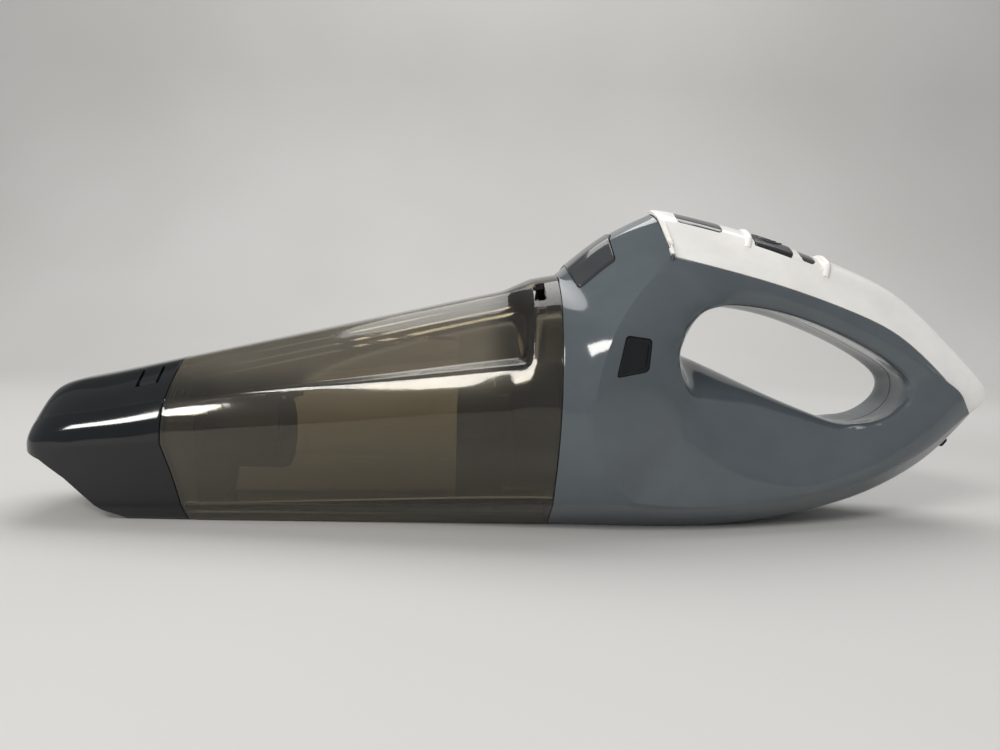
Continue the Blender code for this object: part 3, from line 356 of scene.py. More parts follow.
# Each ray runs from the outline's middle to its edge, the arc on the side, the scoop's edge,
# the loop's rim and the loop's middle. The first nine rays stand on the collar, which is open,
# so only those at its top and its bottom have an outline's middle.
RAYS = [
    [None, collar[9], (33, 43.8, 87), (57.4, 37.5, 83), (61.2, 28, 79), (61.5, 0, 82.5)],
    [None, collar[8], (28.5, 47.3, 79), (56, 39, 78.5), (60, 28, 75.5), (60.6, 0, 79.5)],
    [None, collar[7], (25, 49.6, 69.5), (54.3, 39.8, 73.5), (59.4, 28.8, 73), (60.2, 0, 78)],
    [None, collar[6], (22.6, 50.9, 59), (54.6, 40, 68), (59.4, 28.6, 69.6), (61, 0, 76)],
    [None, collar[5], (22, 51.3, 48), (55.4, 40, 63), (61, 28.2, 66), (62.6, 0, 74.2)],
    [None, collar[4], (24, 50.2, 36), (56.6, 40, 58), (63.8, 27.6, 62.8), (65.4, 0, 72.6)],
    [None, collar[3], (29, 48, 25), (58.4, 39.6, 53), (67.6, 26.8, 60.2), (69, 0, 71)],
    [None, collar[2], (40, 43, 14.5), (60.5, 39.3, 49), (72, 26, 58.4), (73.4, 0, 69.2)],
    [collar[0], collar[1], (52, 41, 12.7), (63.5, 39, 45.5), (77, 25, 56.8), (78.6, 0, 66.8)],
    [(45, 0, 0), (45, 25, 0), (66, 39.5, 12),
     (71, 38.4, 38), (84, 23, 55), (86, 0, 63.4)],
    [(72, 0, 0), (72, 24, 0.2), (84, 36.6, 12.2),
     (84, 36, 30), (93.5, 19.5, 53.8), (96, 0, 58.2)],
    [(97, 0, 2.2), (97, 22.5, 2.4), (103, 33, 13.6),
     (100, 33, 24.5), (108, 18, 49.4), (109, 0, 52.2)],
    [(120, 0, 6), (120, 20, 6.2), (122, 29, 16),
     (117, 29.5, 22.5), (122, 17, 45.8), (122, 0, 46.6)],
    [(141, 0, 11), (141, 17, 11.3), (141, 24.3, 20),
     (137, 25.4, 26.5), (136.5, 16.5, 42.4), (136, 0, 42.2)],
    [(160, 0, 18), (160, 13.5, 18.3), (159, 19.8, 26),
     (156, 21.5, 33), (149.5, 16, 43.6), (149, 0, 42.8)],
    [(177, 0, 27.5), (177, 10.5, 27.8), (176, 16, 34.4),
     (171, 19, 42), (159.5, 15.5, 48), (159, 0, 47.2)],
    [(189.5, 0, 38), (189.2, 8.8, 38.2), (187, 13.2, 42.4),
     (180, 16.6, 49), (165.4, 15, 54.2), (164.6, 0, 53.8)],
    [(199.5, 0, 48), (198.6, 7.8, 48), (196, 10.8, 48.8),
     (187.5, 14.8, 57.5), (166.2, 14.5, 60.2), (165.4, 0, 60.4)],
    [(206.9, 0, 56.2), (205.2, 7.6, 56.6), (189, 11.8, 56),
     (181, 14.8, 63), (162.8, 14.5, 65), (163.4, 0, 65.4)],
    [(195.3, 0, 71.8), (194, 8.8, 69.6), (182, 13, 63.8),
     (165.5, 16.4, 72.6), (156.2, 14.8, 69.8), (157.5, 0, 70)],
    [(168, 0, 96.6), (166.8, 10.4, 93.4), (162, 15.6, 79.8),
     (150, 17.6, 79.8), (145.2, 15.2, 76), (145.5, 0, 76.4)],
    [(147.5, 0, 107.8), (146.6, 11.6, 104), (141, 17.8, 89.8),
     (131.2, 18.6, 87.2), (128.2, 15.8, 83.4), (128, 0, 84.4)],
    [(122.5, 0, 117.4), (121.5, 12.2, 113), (114, 19.4, 98.8),
     (108.8, 19.8, 94.4), (107.4, 16.5, 90), (107, 0, 92.2)],
    [(90, 0, 126.8), (89, 12.6, 121.9), (87, 21.4, 105.8),
     (86.4, 21.4, 98), (87.2, 18, 92.6), (87, 0, 95.2)],
    [(56.2, 0, 133.7), (57, 12.4, 128.9), (59.6, 23.8, 111.6),
     (71.5, 27, 97), (76.5, 23, 91.8), (73, 0, 93.2)],
    [(51.4, 0, 131.9), (52.6, 12.8, 127.4), (57, 24.4, 111.8),
     (64.5, 31.5, 95), (70, 26, 89.8), (67.6, 0, 90.8)],
    [(31, 0, 120.8), (31, 14.5, 118.4), (43, 35.4, 99.5),
     (60, 34.5, 89.6), (64.8, 28, 85.4), (64, 0, 87.4)],
]
RAYS[0][0] = collar[10]


def left_point(bm, point):
    return bm.verts.new((point[0], -point[1], point[2]))


def next_row(bm, row, points, closed=False):
    """Draws a row of points out to the next row, and gives that row and its new faces."""
    ends = row[1:] + row[:1] if closed else row[1:]
    edges = [bm.edges.get(pair) for pair in zip(row, ends)]
    made = set(bmesh.ops.extrude_edge_only(bm, edges=edges)["geom"])
    drawn = [next(e.other_vert(v) for e in v.link_edges if e.other_vert(v) in made) for v in row]
    for v, point in zip(drawn, points):
        v.co = (point[0], -point[1], point[2])
    ends = drawn[1:] + drawn[:1] if closed else drawn[1:]
    return drawn, [bm.edges.get(pair).link_faces[0] for pair in zip(drawn, ends)]


def first_row(bm, points, closed=False):
    row = [left_point(bm, point) for point in points]
    for pair in zip(row, row[1:] + row[:1] if closed else row[1:]):
        bm.edges.new(pair)
    return row


def sharpen(layer, a, b, value):
    """How sharp the line from a to b stays, from 0 to 1."""
    edge = next((e for e in a.link_edges if e.other_vert(a) is b), None)
    if edge:
        edge[layer] = max(edge[layer], value)


def both_sides(bm, name):
    """The left side and its mirror image as one mesh in metres, on an object out of sight."""
    bmesh.ops.mirror(bm, geom=bm.verts[:] + bm.edges[:] + bm.faces[:], merge_dist=0.001, axis="Y")
    bmesh.ops.remove_doubles(bm, verts=bm.verts, dist=0.001)
    bmesh.ops.recalc_face_normals(bm, faces=bm.faces)
    bmesh.ops.scale(bm, vec=(MM, MM, MM), verts=bm.verts)
    return put_down(bm, name)


def put_down(bm, name):
    mesh = bpy.data.meshes.new(name)
    bm.to_mesh(mesh)
    bm.free()
    obj = bpy.data.objects.new(name, mesh)
    bpy.context.scene.collection.objects.link(obj)
    return obj


def applied(obj):
    """Replaces the object's mesh by what its modifiers make of it."""
    bpy.context.view_layer.update()
    graph = bpy.context.evaluated_depsgraph_get()
    mesh = bpy.data.meshes.new_from_object(obj.evaluated_get(graph))
    obj.modifiers.clear()
    obj.data = mesh
    return obj


def subdivided(obj, levels):
    divide = obj.modifiers.new("round", "SUBSURF")
    divide.levels = divide.render_levels = levels
    return applied(obj)


def fitted(form):
    """Shifts the cage until its rounded surface passes through the points it was drawn with."""
    targets = [v.co.copy() for v in form.data.vertices]
    for _ in range(FIT_ROUNDS):
        trial = bpy.data.objects.new("trial", form.data.copy())
        bpy.context.scene.collection.objects.link(trial)
        subdivided(trial, FINE)
        for v, target, got in zip(form.data.vertices, targets, trial.data.vertices):
            v.co += (target - got.co) * FIT_SHARE
        bpy.data.objects.remove(trial)
    subdivided(form, FINE)
    for v in form.data.vertices:
        if v.co.z < BELLY_SNAP * MM:
            v.co.z = 0.0
    return form


def body_form():
    """The motor body's outer surface. Each face's material number says housing or cover."""
    bm = bmesh.new()
    crease = bm.edges.layers.float.new("crease_edge")
    rows = {5: first_row(bm, [ray[5] for ray in RAYS], closed=True)}
    first_cover, last_cover = COVER_RAYS
    for depth in (4, 3, 2, 1):
        rows[depth], faces = next_row(bm, rows[depth + 1], [ray[depth] for ray in RAYS], closed=True)
        if depth == 1:
            for face in faces[first_cover:last_cover]:
                face.material_index = COVER
    open_rays = [*range(8, len(RAYS)), 0]
    edge_row = [rows[1][i] for i in open_rays]
    middle, faces = next_row(bm, edge_row, [RAYS[i][0] for i in open_rays])
    for i, face in zip(open_rays, faces):
        if first_cover <= i < last_cover:
            face.material_index = COVER
    count = len(RAYS)
    for i in range(count):
        j = (i + 1) % count
        sharpen(crease, rows[1][i], rows[1][j], COLLAR_EDGE if i < KEEL_RAY + 1 else BACK_EDGE)
        sharpen(crease, rows[2][i], rows[2][j], ARC_EDGE)
        sharpen(crease, rows[3][i], rows[3][j], SCOOP_EDGE if i < LAST_SCOOP_RAY else HANDLE_EDGE)
        soft = FIRST_SOFT_RAY <= i < LAST_SCOOP_RAY
        sharpen(crease, rows[4][i], rows[4][j], RIM_SOFT_EDGE if soft else RIM_EDGE)
    for i in COVER_RAYS:
        sharpen(crease, rows[1][i], rows[2][i], CORNER_EDGE)
        sharpen(crease, middle[open_rays.index(i)], rows[1][i], CORNER_EDGE)
    sharpen(crease, rows[1][KEEL_RAY], rows[2][KEEL_RAY], CORNER_EDGE)
    return fitted(both_sides(bm, "body_form"))


def edge_rounded(obj, width, angle, segments=2):
    bevel = obj.modifiers.new("edge_round", "BEVEL")
    bevel.width = width * MM
    bevel.segments = segments
    bevel.limit_method = "ANGLE"
    bevel.angle_limit = math.radians(angle)
    bevel.use_clamp_overlap = False
    return applied(obj)


def wall_over(name, form, keep, inset=0.0, wall=WALL, gap=SEAM_GAP):
    """A wall over the faces of a form that keep() picks, its edges set back by half the gap.

    It starts at inset below the form's surface and is solid inwards from there.
    """
    bm = bmesh.new()
    bm.from_mesh(form.data)
    bm.normal_update()
    sinks = {v: v.normal * min(v.calc_shell_factor(), MOST_SHELL_FACTOR) * inset * MM for v in bm.verts}
    for v, sink in sinks.items():
        v.co -= sink
    bmesh.ops.delete(bm, geom=[f for f in bm.faces if not keep(f)], context="FACES")
    pulls = {}
    for edge in bm.edges:
        if not edge.is_boundary or not gap:
            continue
        loop = edge.link_loops[0]
        along = loop.link_loop_next.vert.co - loop.vert.co
        for v in edge.verts:
            pulls[v] = pulls.get(v, Vector()) + loop.face.normal.cross(along).normalized()
    for v, pull in pulls.items():
        v.co += pull.normalized() * gap / 2 * MM
    for f in bm.faces:
        f.material_index = 0
    obj = put_down(bm, name)
    thick = obj.modifiers.new("wall", "SOLIDIFY")
    thick.thickness = wall * MM
    thick.offset = -1
    applied(obj)
    return edge_rounded(obj, RIM_ROUND, 60) if gap else obj


def boolean(obj, other, operation):
    """Joins or cuts two closed meshes, and drops the second."""
    cut = obj.modifiers.new("cut", "BOOLEAN")
    cut.operation = operation
    cut.solver = "MANIFOLD"
    cut.object = other
    applied(obj)
    bpy.data.objects.remove(other)
    return obj


def facing(x, z, lean):
    """A frame at (x, 0, z) whose local Z leans back from straight up, by lean degrees, to +X."""
    return Matrix.Translation(mm(x, 0, z)) @ Matrix.Rotation(math.radians(lean), 4, "Y")


SIDEWAYS = Matrix.Rotation(math.radians(90), 4, "X")


def prism(corners, matrix, depth=24.0, rounding=1.6):
    """A closed prism along the matrix's Z through an outline of (x, y) with rounded corners."""
    bm = bmesh.new()
    face = bm.faces.new([bm.verts.new((x, y, -depth / 2)) for x, y in corners])
    face.normal_update()
    if face.normal.z < 0:
        bmesh.ops.reverse_faces(bm, faces=[face])
    if rounding:
        bmesh.ops.bevel(
            bm, geom=bm.verts[:], offset=rounding, affect="VERTICES", segments=5, profile=0.5,
            material=-1,
        )
    bmesh.ops.solidify(bm, geom=bm.faces[:], thickness=-depth)
    bmesh.ops.recalc_face_normals(bm, faces=bm.faces)
    bmesh.ops.scale(bm, vec=(MM, MM, MM), verts=bm.verts)
    bmesh.ops.transform(bm, matrix=matrix, verts=bm.verts)
    return put_down(bm, "prism")


def rectangle(width, height, centre=(0, 0)):
    x, y = centre
    a, b = width / 2, height / 2
    return [(x - a, y - b), (x + a, y - b), (x + a, y + b), (x - a, y + b)]


def grown(corners, amount):
    """The outline moved outwards from its own centre, by about the amount at each corner."""
    centre = sum((Vector(c) for c in corners), Vector((0, 0))) / len(corners)
    return [tuple(Vector(c) + (Vector(c) - centre).normalized() * amount * 1.4) for c in corners]


def skin_piece(name, form, outline, inset, wall):
    """The part of the form's wall that lies inside a prism."""
    return boolean(wall_over(name, form, lambda f: True, inset, wall, gap=0), outline, "INTERSECT")


def softened(obj, width=0.25, segments=2, angle=40):
    """Small rounds along a small piece's sharp edges, after points that nearly meet are joined."""
    bm = bmesh.new()
    bm.from_mesh(obj.data)
    bmesh.ops.remove_doubles(bm, verts=bm.verts, dist=0.06 * MM)
    bmesh.ops.dissolve_degenerate(bm, edges=bm.edges, dist=0.02 * MM)
    bm.to_mesh(obj.data)
    bm.free()
    return smooth(edge_rounded(obj, width, angle, segments))


def smooth(obj, degrees=35):
    obj.data.shade_smooth()
    obj.data.set_sharp_from_angle(angle=math.radians(degrees))
    weigh = obj.modifiers.new("weigh_normals", "WEIGHTED_NORMAL")
    weigh.keep_sharp = True
    return obj


def fit_out(obj, body, slot, material, *stands_for):
    """Gives a finished piece its material and its body, and hides the CAD nodes it stands for. The slot
    is not used.
    """
    obj.data.materials.clear()
    obj.data.materials.append(material)
    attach(obj, body)
    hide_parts(*stands_for)
    return obj


BODY = body_form()
RELEASE_FRAME = facing(24.5, 112.0, -36.0)
RELEASE_OUTLINE = [
    (-9.2, 0), (-13.4, -25), (5.8, -22.6), (12.8, -8), (12.8, 8), (5.8, 22.6), (-13.4, 25)
]
WINDOW_OUTLINE = [(34, 79.8), (30.4, 64.1), (43.4, 66.5), (44.5, 78.5)]
CHARGE_FRAME = facing(190.0, 37.6, 128.0)
RELEASE_REACH = 44
WINDOW_MID_Y, WINDOW_REACH = 46, 40
CHARGE_OUTLINE = rectangle(11, 10)
CHARGE_RECESS, SOCKET_HOLE_RADIUS, SOCKET_HOLE_LENGTH = 1.1, 3.2, 12
CUT_ABOVE = 2.0  # a recess is cut from this far above the surface
SCREW_PLACES = ((46, 104), (153, 81), (92, 41), (172, 41))
SCREW_HEAD_RADIUS, SCREW_HOLE_FLOOR, SCREW_HOLE_END = 3.4, 7.0, 70.0


def rod(radius, length, matrix):
    bm = bmesh.new()
    bmesh.ops.create_cone(
        bm, cap_ends=True, segments=32, radius1=radius * MM, radius2=radius * MM, depth=length * MM
    )
    bmesh.ops.transform(bm, matrix=matrix, verts=bm.verts)
    return put_down(bm, "rod")


def window_prism(side, amount, depth=WINDOW_REACH):
    """A prism through one side's window, its outline grown by the amount."""
    place = Matrix.Translation(mm(0, side * WINDOW_MID_Y, 0)) @ SIDEWAYS
    return prism(grown(WINDOW_OUTLINE, amount), place, depth)


grey_gloss = moulded(
    "grey_gloss_plastic", (0.088, 0.105, 0.116), 0.10, scuffs=0.35, dust=0.10, coat=0.35
)
for name, side in (("left_shell", -1), ("right_shell", 1)):
    shell = wall_over(
        name, BODY,
        lambda f: f.material_index == HOUSING and f.calc_center_median().y * side > 0,
    )
    key_hole = prism(grown(RELEASE_OUTLINE, SEAM_GAP), RELEASE_FRAME, RELEASE_REACH)
    boolean(shell, key_hole, "DIFFERENCE")
    boolean(shell, window_prism(side, SEAM_GAP), "DIFFERENCE")
    around_plug = prism(grown(CHARGE_OUTLINE, SEAM_GAP), CHARGE_FRAME)
    recess = skin_piece("recess", BODY, around_plug, -CUT_ABOVE, CUT_ABOVE + CHARGE_RECESS)
    boolean(shell, recess, "DIFFERENCE")
    boolean(shell, rod(SOCKET_HOLE_RADIUS, SOCKET_HOLE_LENGTH, CHARGE_FRAME), "DIFFERENCE")
    if side > 0:
        middle_y = (SCREW_HOLE_FLOOR + SCREW_HOLE_END) / 2
        for x, z in SCREW_PLACES:
            place = Matrix.Translation(mm(x, middle_y, z)) @ SIDEWAYS
            hole = rod(SCREW_HEAD_RADIUS, SCREW_HOLE_END - SCREW_HOLE_FLOOR, place)
            boolean(shell, hole, "DIFFERENCE")
    housing = name.replace("shell", "housing")
    fit_out(smooth(shell, ARC_ANGLE), "motor_body", "grey_gloss", grey_gloss, housing)

# ---------------------------------------------------------------- side windows
# A small tapered insert closes the vent in each side, gloss black with a thin raised bezel.
# It is clipped in from inside, a hair below the grey surface.

INSERT_INSET, BEZEL_INSET, INSERT_WALL, BEZEL_WIDTH = 0.6, 0.1, 1.6, 1.1
INSERT_ROUND = 0.2
black_gloss = moulded("black_gloss_plastic", (0.004, 0.005, 0.006), 0.07, scuffs=0.2, dust=0.05)
for name, side in (("left_window", -1), ("right_window", 1)):
    insert = skin_piece(name, BODY, window_prism(side, 0), INSERT_INSET, INSERT_WALL)
    bezel = window_prism(side, 0)
    boolean(bezel, window_prism(side, -BEZEL_WIDTH, WINDOW_REACH + 20), "DIFFERENCE")
    boolean(insert, skin_piece("bezel", BODY, bezel, BEZEL_INSET, INSERT_WALL), "UNION")
    vent_cover = name.replace("window", "vent_cover")
    fit_out(softened(insert, INSERT_ROUND), "motor_body", "black_gloss", black_gloss, vent_cover)

# ---------------------------------------------------------------- white top cover
# A warm white gloss moulding runs over the handle, with a flat facet round its edge.
# The control pad is sunk between two rounded lips and has openings for what shows through it.

CONTROL_FRAME = facing(104.8, 120.5, 18.5)
POWER_OUTLINE = rectangle(17.4, 26, (-0.6, 0))
PAD_OUTLINE = rectangle(33.6, 27.6, (5.8, 0))
INDICATOR_OUTLINE = rectangle(7.2, 24, (15.4, 0))
PAD_DEPTH, CUT_OVER_PAD, CORNER_ROUND = 0.8, 2.5, 2.0
LIP_PLACES = (-12.4, 24.0)
LIP_REACH, LIP_STEPS, LIP_LOOK_FROM = 13.9, 8, 20
LIP_RADIUS, LIP_DEPTH, LIP_END_DEPTH = 1.7, 0.5, 1.9
OPENING_DEPTH = 24
DISPLAY_FRAME = facing(71.0, 129.0, 11.0)
DISPLAY_OUTLINE = rectangle(20.4, 25.6)


def bead_across(x):
    """A round bead across the cover, half sunk in its surface, whose two ends dive under it."""
    route = []
    for step in range(-LIP_STEPS, LIP_STEPS + 1):
        y = LIP_REACH * step / LIP_STEPS
        start = CONTROL_FRAME @ mm(x, y, LIP_LOOK_FROM)
        towards = (CONTROL_FRAME @ mm(x, y, 0) - start).normalized()
        place = BODY.ray_cast(start, towards)[1]
        depth = LIP_END_DEPTH if abs(step) == LIP_STEPS else LIP_DEPTH
        route.append(place + towards * depth * MM)
    line = bpy.data.curves.new("bead", "CURVE")
    line.dimensions = "3D"
    line.bevel_depth = LIP_RADIUS * MM
    line.bevel_resolution = 4
    line.use_fill_caps = True
    spline = line.splines.new("NURBS")
    spline.points.add(len(route) - 1)
    for point, place in zip(spline.points, route):
        point.co = (*place, 1)
    spline.use_endpoint_u = True
    spline.order_u = 3
    bead = bpy.data.objects.new("bead", line)
    bpy.context.scene.collection.objects.link(bead)
    bpy.context.view_layer.update()
    graph = bpy.context.evaluated_depsgraph_get()
    bm = bmesh.new()
    bm.from_mesh(bpy.data.meshes.new_from_object(bead.evaluated_get(graph)))
    bmesh.ops.remove_doubles(bm, verts=bm.verts, dist=0.001 * MM)
    bmesh.ops.recalc_face_normals(bm, faces=bm.faces)
    bpy.data.objects.remove(bead)
    return put_down(bm, "bead")


cover = wall_over("top_shell", BODY, lambda f: f.material_index == COVER)
for x in LIP_PLACES:
    boolean(cover, bead_across(x), "UNION")
over_pad = prism(PAD_OUTLINE, CONTROL_FRAME, OPENING_DEPTH, CORNER_ROUND)
sunk = skin_piece("sunk", BODY, over_pad, -CUT_OVER_PAD, CUT_OVER_PAD + PAD_DEPTH)
boolean(cover, sunk, "DIFFERENCE")
for outline, matrix in (
    (POWER_OUTLINE, CONTROL_FRAME),
    (INDICATOR_OUTLINE, CONTROL_FRAME),
    (DISPLAY_OUTLINE, DISPLAY_FRAME),
):
    opening = prism(grown(outline, SEAM_GAP), matrix, OPENING_DEPTH, CORNER_ROUND)
    boolean(cover, opening, "DIFFERENCE")
white_gloss = moulded("white_gloss_plastic", (0.93, 0.91, 0.87), 0.17, scuffs=0.3, dust=0.2, coat=0.3)
fit_out(smooth(cover), "motor_body", "white_gloss", white_gloss, "top_cover")

# ---------------------------------------------------------------- lenses in the cover
# Two dark tinted windows, for the charge display and for the speed indicator behind them.
# They are glued in from below, almost level with the white surface.

LENS_WALL = 1.3
dark_lens = moulded("dark_lens_plastic", (0.040, 0.042, 0.043), 0.08, dust=0.15, coat=0.4)
for name, outline, matrix, inset, stands_for in (
    ("display_window", DISPLAY_OUTLINE, DISPLAY_FRAME, 0.15, "display_lens"),
    ("indicator_window", INDICATOR_OUTLINE, CONTROL_FRAME, 0.95, "indicator_lens"),
):
    lens = skin_piece(name, BODY, prism(outline, matrix), inset, LENS_WALL)
    fit_out(softened(lens), "motor_body", "dark_lens", dark_lens, stands_for)

# ---------------------------------------------------------------- power button
# A satin black push button with fine arc ribs for the thumb, which presses into the cover.

BUTTON_INSET, BUTTON_WALL, BUTTON_MARGIN, BUTTON_ROUND = 0.35, 1.9, 0.9, 0.16
RIB_RADII, RIB_WIDTH, RIB_CENTRE_X = (3.4, 5.8, 8.2), 0.9, -2.4
RIB_RISE, RIB_WALL, RIB_CUT_DEPTH = 0.1, 1.2, 30

button_prism = prism(POWER_OUTLINE, CONTROL_FRAME)
power = skin_piece("power_cap", BODY, button_prism, BUTTON_INSET, BUTTON_WALL)
rib_frame = CONTROL_FRAME @ Matrix.Translation(mm(RIB_CENTRE_X, 0, 0))
for radius in RIB_RADII:
    band = rod(radius, OPENING_DEPTH, rib_frame)
    boolean(band, rod(radius - RIB_WIDTH, RIB_CUT_DEPTH, rib_frame), "DIFFERENCE")
    within = prism(grown(POWER_OUTLINE, -BUTTON_MARGIN), CONTROL_FRAME, RIB_CUT_DEPTH)
    boolean(band, within, "INTERSECT")
    boolean(power, skin_piece("rib", BODY, band, -RIB_RISE, RIB_WALL), "UNION")
button_black = moulded("button_black_plastic", (0.020, 0.020, 0.021), 0.26, grain=0.3, dust=0.2)
fit_out(softened(power, BUTTON_ROUND), "power", "black_button", button_black, "power_button")

# ---------------------------------------------------------------- release button
# A wide dark key wraps over the slope in front of the cover and stands a little proud.
# A thumb presses it, and the latch under it then lets go of the bin.

KEY_RISE, KEY_WALL, KEY_ROUND = 0.7, 2.6, 0.35
key_prism = prism(RELEASE_OUTLINE, RELEASE_FRAME, RELEASE_REACH)
release = skin_piece("release_key", BODY, key_prism, -KEY_RISE, KEY_WALL)
fit_out(softened(release, KEY_ROUND, 3), "release", "dark_lens", dark_lens, "release_button")

# ---------------------------------------------------------------- charge cover
# A soft rubber plug with a pull tab closes the charging socket under the tail.

PLUG_INSET, PLUG_WALL, PLUG_ROUND = 0.1, 0.7, 0.12
TAB_OUTLINE, TAB_LENGTH, TAB_MIDDLE = rectangle(4.4, 7.0, (2.6, 0)), 6.0, 0.4
TAB_CORNER, TAB_ROUND = 1.2, 0.5

plug_prism = prism(CHARGE_OUTLINE, CHARGE_FRAME)
plug = skin_piece("charge_plug", BODY, plug_prism, PLUG_INSET, PLUG_WALL)
tab_frame = CHARGE_FRAME @ Matrix.Translation(mm(0, 0, TAB_MIDDLE))
tab = prism(TAB_OUTLINE, tab_frame, TAB_LENGTH, TAB_CORNER)
boolean(plug, softened(tab, TAB_ROUND, 3), "UNION")
fit_out(softened(plug, PLUG_ROUND), "charge_cap", "rubber_black", soft_rubber, "charge_cover")

# ---------------------------------------------------------------- filter
# A black frame holds a fine steel screen in front of pleated paper, on a rubber ring.

dress(black_matte, "filter_frame")
dress(soft_rubber, "filter_seal")


def woven_screen():
    made, place, end = material_start("woven_screen")
    wires = place.node("TexVoronoi", {"feature": "DISTANCE_TO_EDGE"}, {
        "Vector": place, "Scale": 900, "Randomness": 0.0,
    }).from_to(0.05, 0.30)
    bump = place.node("Bump", {"invert": True}, {"Strength": 0.8, "Distance": 0.0002, "Height": wires})
    return finished(made, end, place.node("BsdfPrincipled", {}, {
        "Base Color": wires.mixed((0.42, 0.42, 0.42), (0.03, 0.03, 0.03)),
        "Metallic": 1 - wires, "Roughness": 0.4 + wires * 0.3, "Normal": bump,
    }))


def pleated_paper():
    made, place, end = material_start("pleated_paper")
    fibre = place.noise(1800, 4, 0.7)
    soil = place.noise(70, 4, 0.6).from_to(0.45, 0.75)
    bump = place.node("Bump", {}, {"Strength": 0.5, "Distance": 0.0002, "Height": fibre})
    return finished(made, end, place.node("BsdfPrincipled", {}, {
        "Base Color": (soil * 0.6).mixed((0.74, 0.73, 0.69), (0.42, 0.39, 0.33)),
        "Roughness": 0.85 + fibre * 0.1, "Normal": bump,
    }))


dress(woven_screen(), "filter_screen")
dress(pleated_paper(), "pleated_filter")

# ---------------------------------------------------------------- dust bin
# A smoked clear bin, moulded in one, whose sides bulge between a ledge line and a flat keel.
# A painted dark strip runs down its spine as the shade on that flat facet, two ribs a side lie inside,
# and two slots take the latch.

BIN_SECTIONS = (
    # Each section runs from the belly's middle to the spine's middle, as the collar does.
    ((-2, 0, 0), (-2, 24, 0), (-2, 40.2, 12.9), (-2, 45.8, 26),
     (-2, 49.8, 39.4), (-2, 50.9, 55), (-1.2, 46.2, 68.8), (-1, 39.6, 81.6),
     (-0.5, 29.6, 92), (0, 15.1, 99.8), (0, 0, 102.3)),
    ((-12, 0, 0), (-12, 24, 0), (-12, 39.3, 12.6), (-12, 44.6, 25.5),
     (-12, 48.8, 39), (-12, 49.4, 53.5), (-5, 45.3, 67.8), (-6.5, 37.5, 70.6),
     (-9.5, 27, 84.5), (-12, 13, 95.2), (-12, 0, 96.8)),
    ((-30, 0, 0), (-30, 24, 0), (-30, 37.5, 11.9), (-30, 42.6, 25),
     (-30, 46.8, 38.5), (-30, 47.4, 52), (-30, 42.6, 64.4), (-30, 36.6, 67.2),
     (-30, 26, 81), (-30, 13, 91), (-30, 0, 92.6)),
    ((-72, 0, 0), (-72, 24, 0), (-72, 33.8, 9.9), (-72, 38, 23.2),
     (-72, 42.5, 36.6), (-72, 42.5, 47.5), (-72, 38.4, 58.8), (-72, 34.4, 60.8),
     (-72, 24.5, 72), (-72, 13, 81.2), (-72, 0, 82.7)),
    ((-108, 0, 0), (-108, 24, 0), (-108, 31.5, 8.4), (-108, 34.5, 21.5),
     (-108, 38.2, 34.6), (-108, 38, 44), (-108, 34.6, 54.4), (-108, 32.6, 55.8),
     (-108, 23, 64.6), (-108, 12.5, 73), (-108, 0, 74.3)),
    ((-134, 0, 0), (-134, 24, 0), (-134, 30, 7.6), (-134, 32.6, 20.4),
     (-134, 35.3, 33.4), (-134, 34.8, 42), (-134, 31.8, 50.9), (-134, 30.6, 51.8),
     (-134, 22.4, 59.6), (-134, 12, 67), (-134, 0, 68.2)),
)
NOZZLE_SECTIONS = (
    ((-137.5, 0, 0), (-137.5, 23.5, 0), (-139, 29.3, 7.3), (-142, 31.4, 20),
     (-146, 34, 33), (-145.8, 33.4, 41.5), (-145.4, 30.5, 49.6), (-145.3, 29.7, 50.3),
     (-144.8, 22, 57.4), (-144.2, 12, 64.6), (-144.2, 0, 65.8)),
    ((-160, 0, 0), (-160, 23, 0), (-160, 28.8, 6.8), (-160, 30.6, 19.5),
     (-160, 33.2, 32.1), (-160, 32.4, 39.5), (-160, 29.4, 46.8), (-160, 28.6, 47.6),
     (-160, 21.5, 54.4), (-160, 12, 60.8), (-160, 0, 62)),
    ((-178, 0, 0), (-178, 22, 0), (-178, 27.4, 6.3), (-178, 29.2, 19),
     (-178, 31.4, 30.6), (-178, 30.6, 37.6), (-178, 27.6, 43.6), (-178, 26.8, 44.4),
     (-178, 20.5, 50.8), (-178, 11.5, 56.6), (-178, 0, 57.8)),
    ((-192, 0, 0), (-192, 20, 0), (-192, 25.4, 6), (-192, 27, 18),
     (-192, 29, 28.8), (-192, 28.2, 35.6), (-192, 25, 41.2), (-192, 24.2, 42),
     (-192, 18.6, 47.8), (-192, 10.5, 53.2), (-192, 0, 54.4)),
    ((-200.5, 0, 0), (-200.5, 17, 0), (-200.5, 21.5, 6), (-200.5, 23, 17),
     (-201, 24.6, 27.6), (-201, 23.6, 33.6), (-200.5, 20.6, 38.2), (-200.4, 19.6, 39.2),
     (-199.8, 14.8, 44.2), (-199.4, 8, 48.8), (-199.2, 0, 49.8)),
    ((-204, 0, 3), (-204, 10, 3), (-204.6, 13, 8), (-205.6, 14, 17),
     (-205.8, 15.4, 27), (-205.8, 14.6, 31.6), (-205.4, 12.4, 35), (-205.2, 11.6, 35.8),
     (-204.6, 8.6, 39), (-204, 4.6, 41.6), (-203.8, 0, 42.4)),
)
LONG_LINES = {1: 0.5, 2: 0.8, 4: 1.0, 6: 0.9, 7: 0.6, 9: 0.5}
JOINT_STRIP = 7  # the strip of faces where the nozzle starts, counted from the collar
LATCH_SLOT = (2.3, 23.0, 4.8, 13.0)


# Behind the spine the top steps down from the collar, between these two rows of points.
FIRST_STEP_POINT, STEP_TOP_EDGE, STEP_FOOT_EDGE = 6, 0.6, 0.5
LAST_LINE_ROW, NOSE_MIDDLE_STEP = 11, 0.8


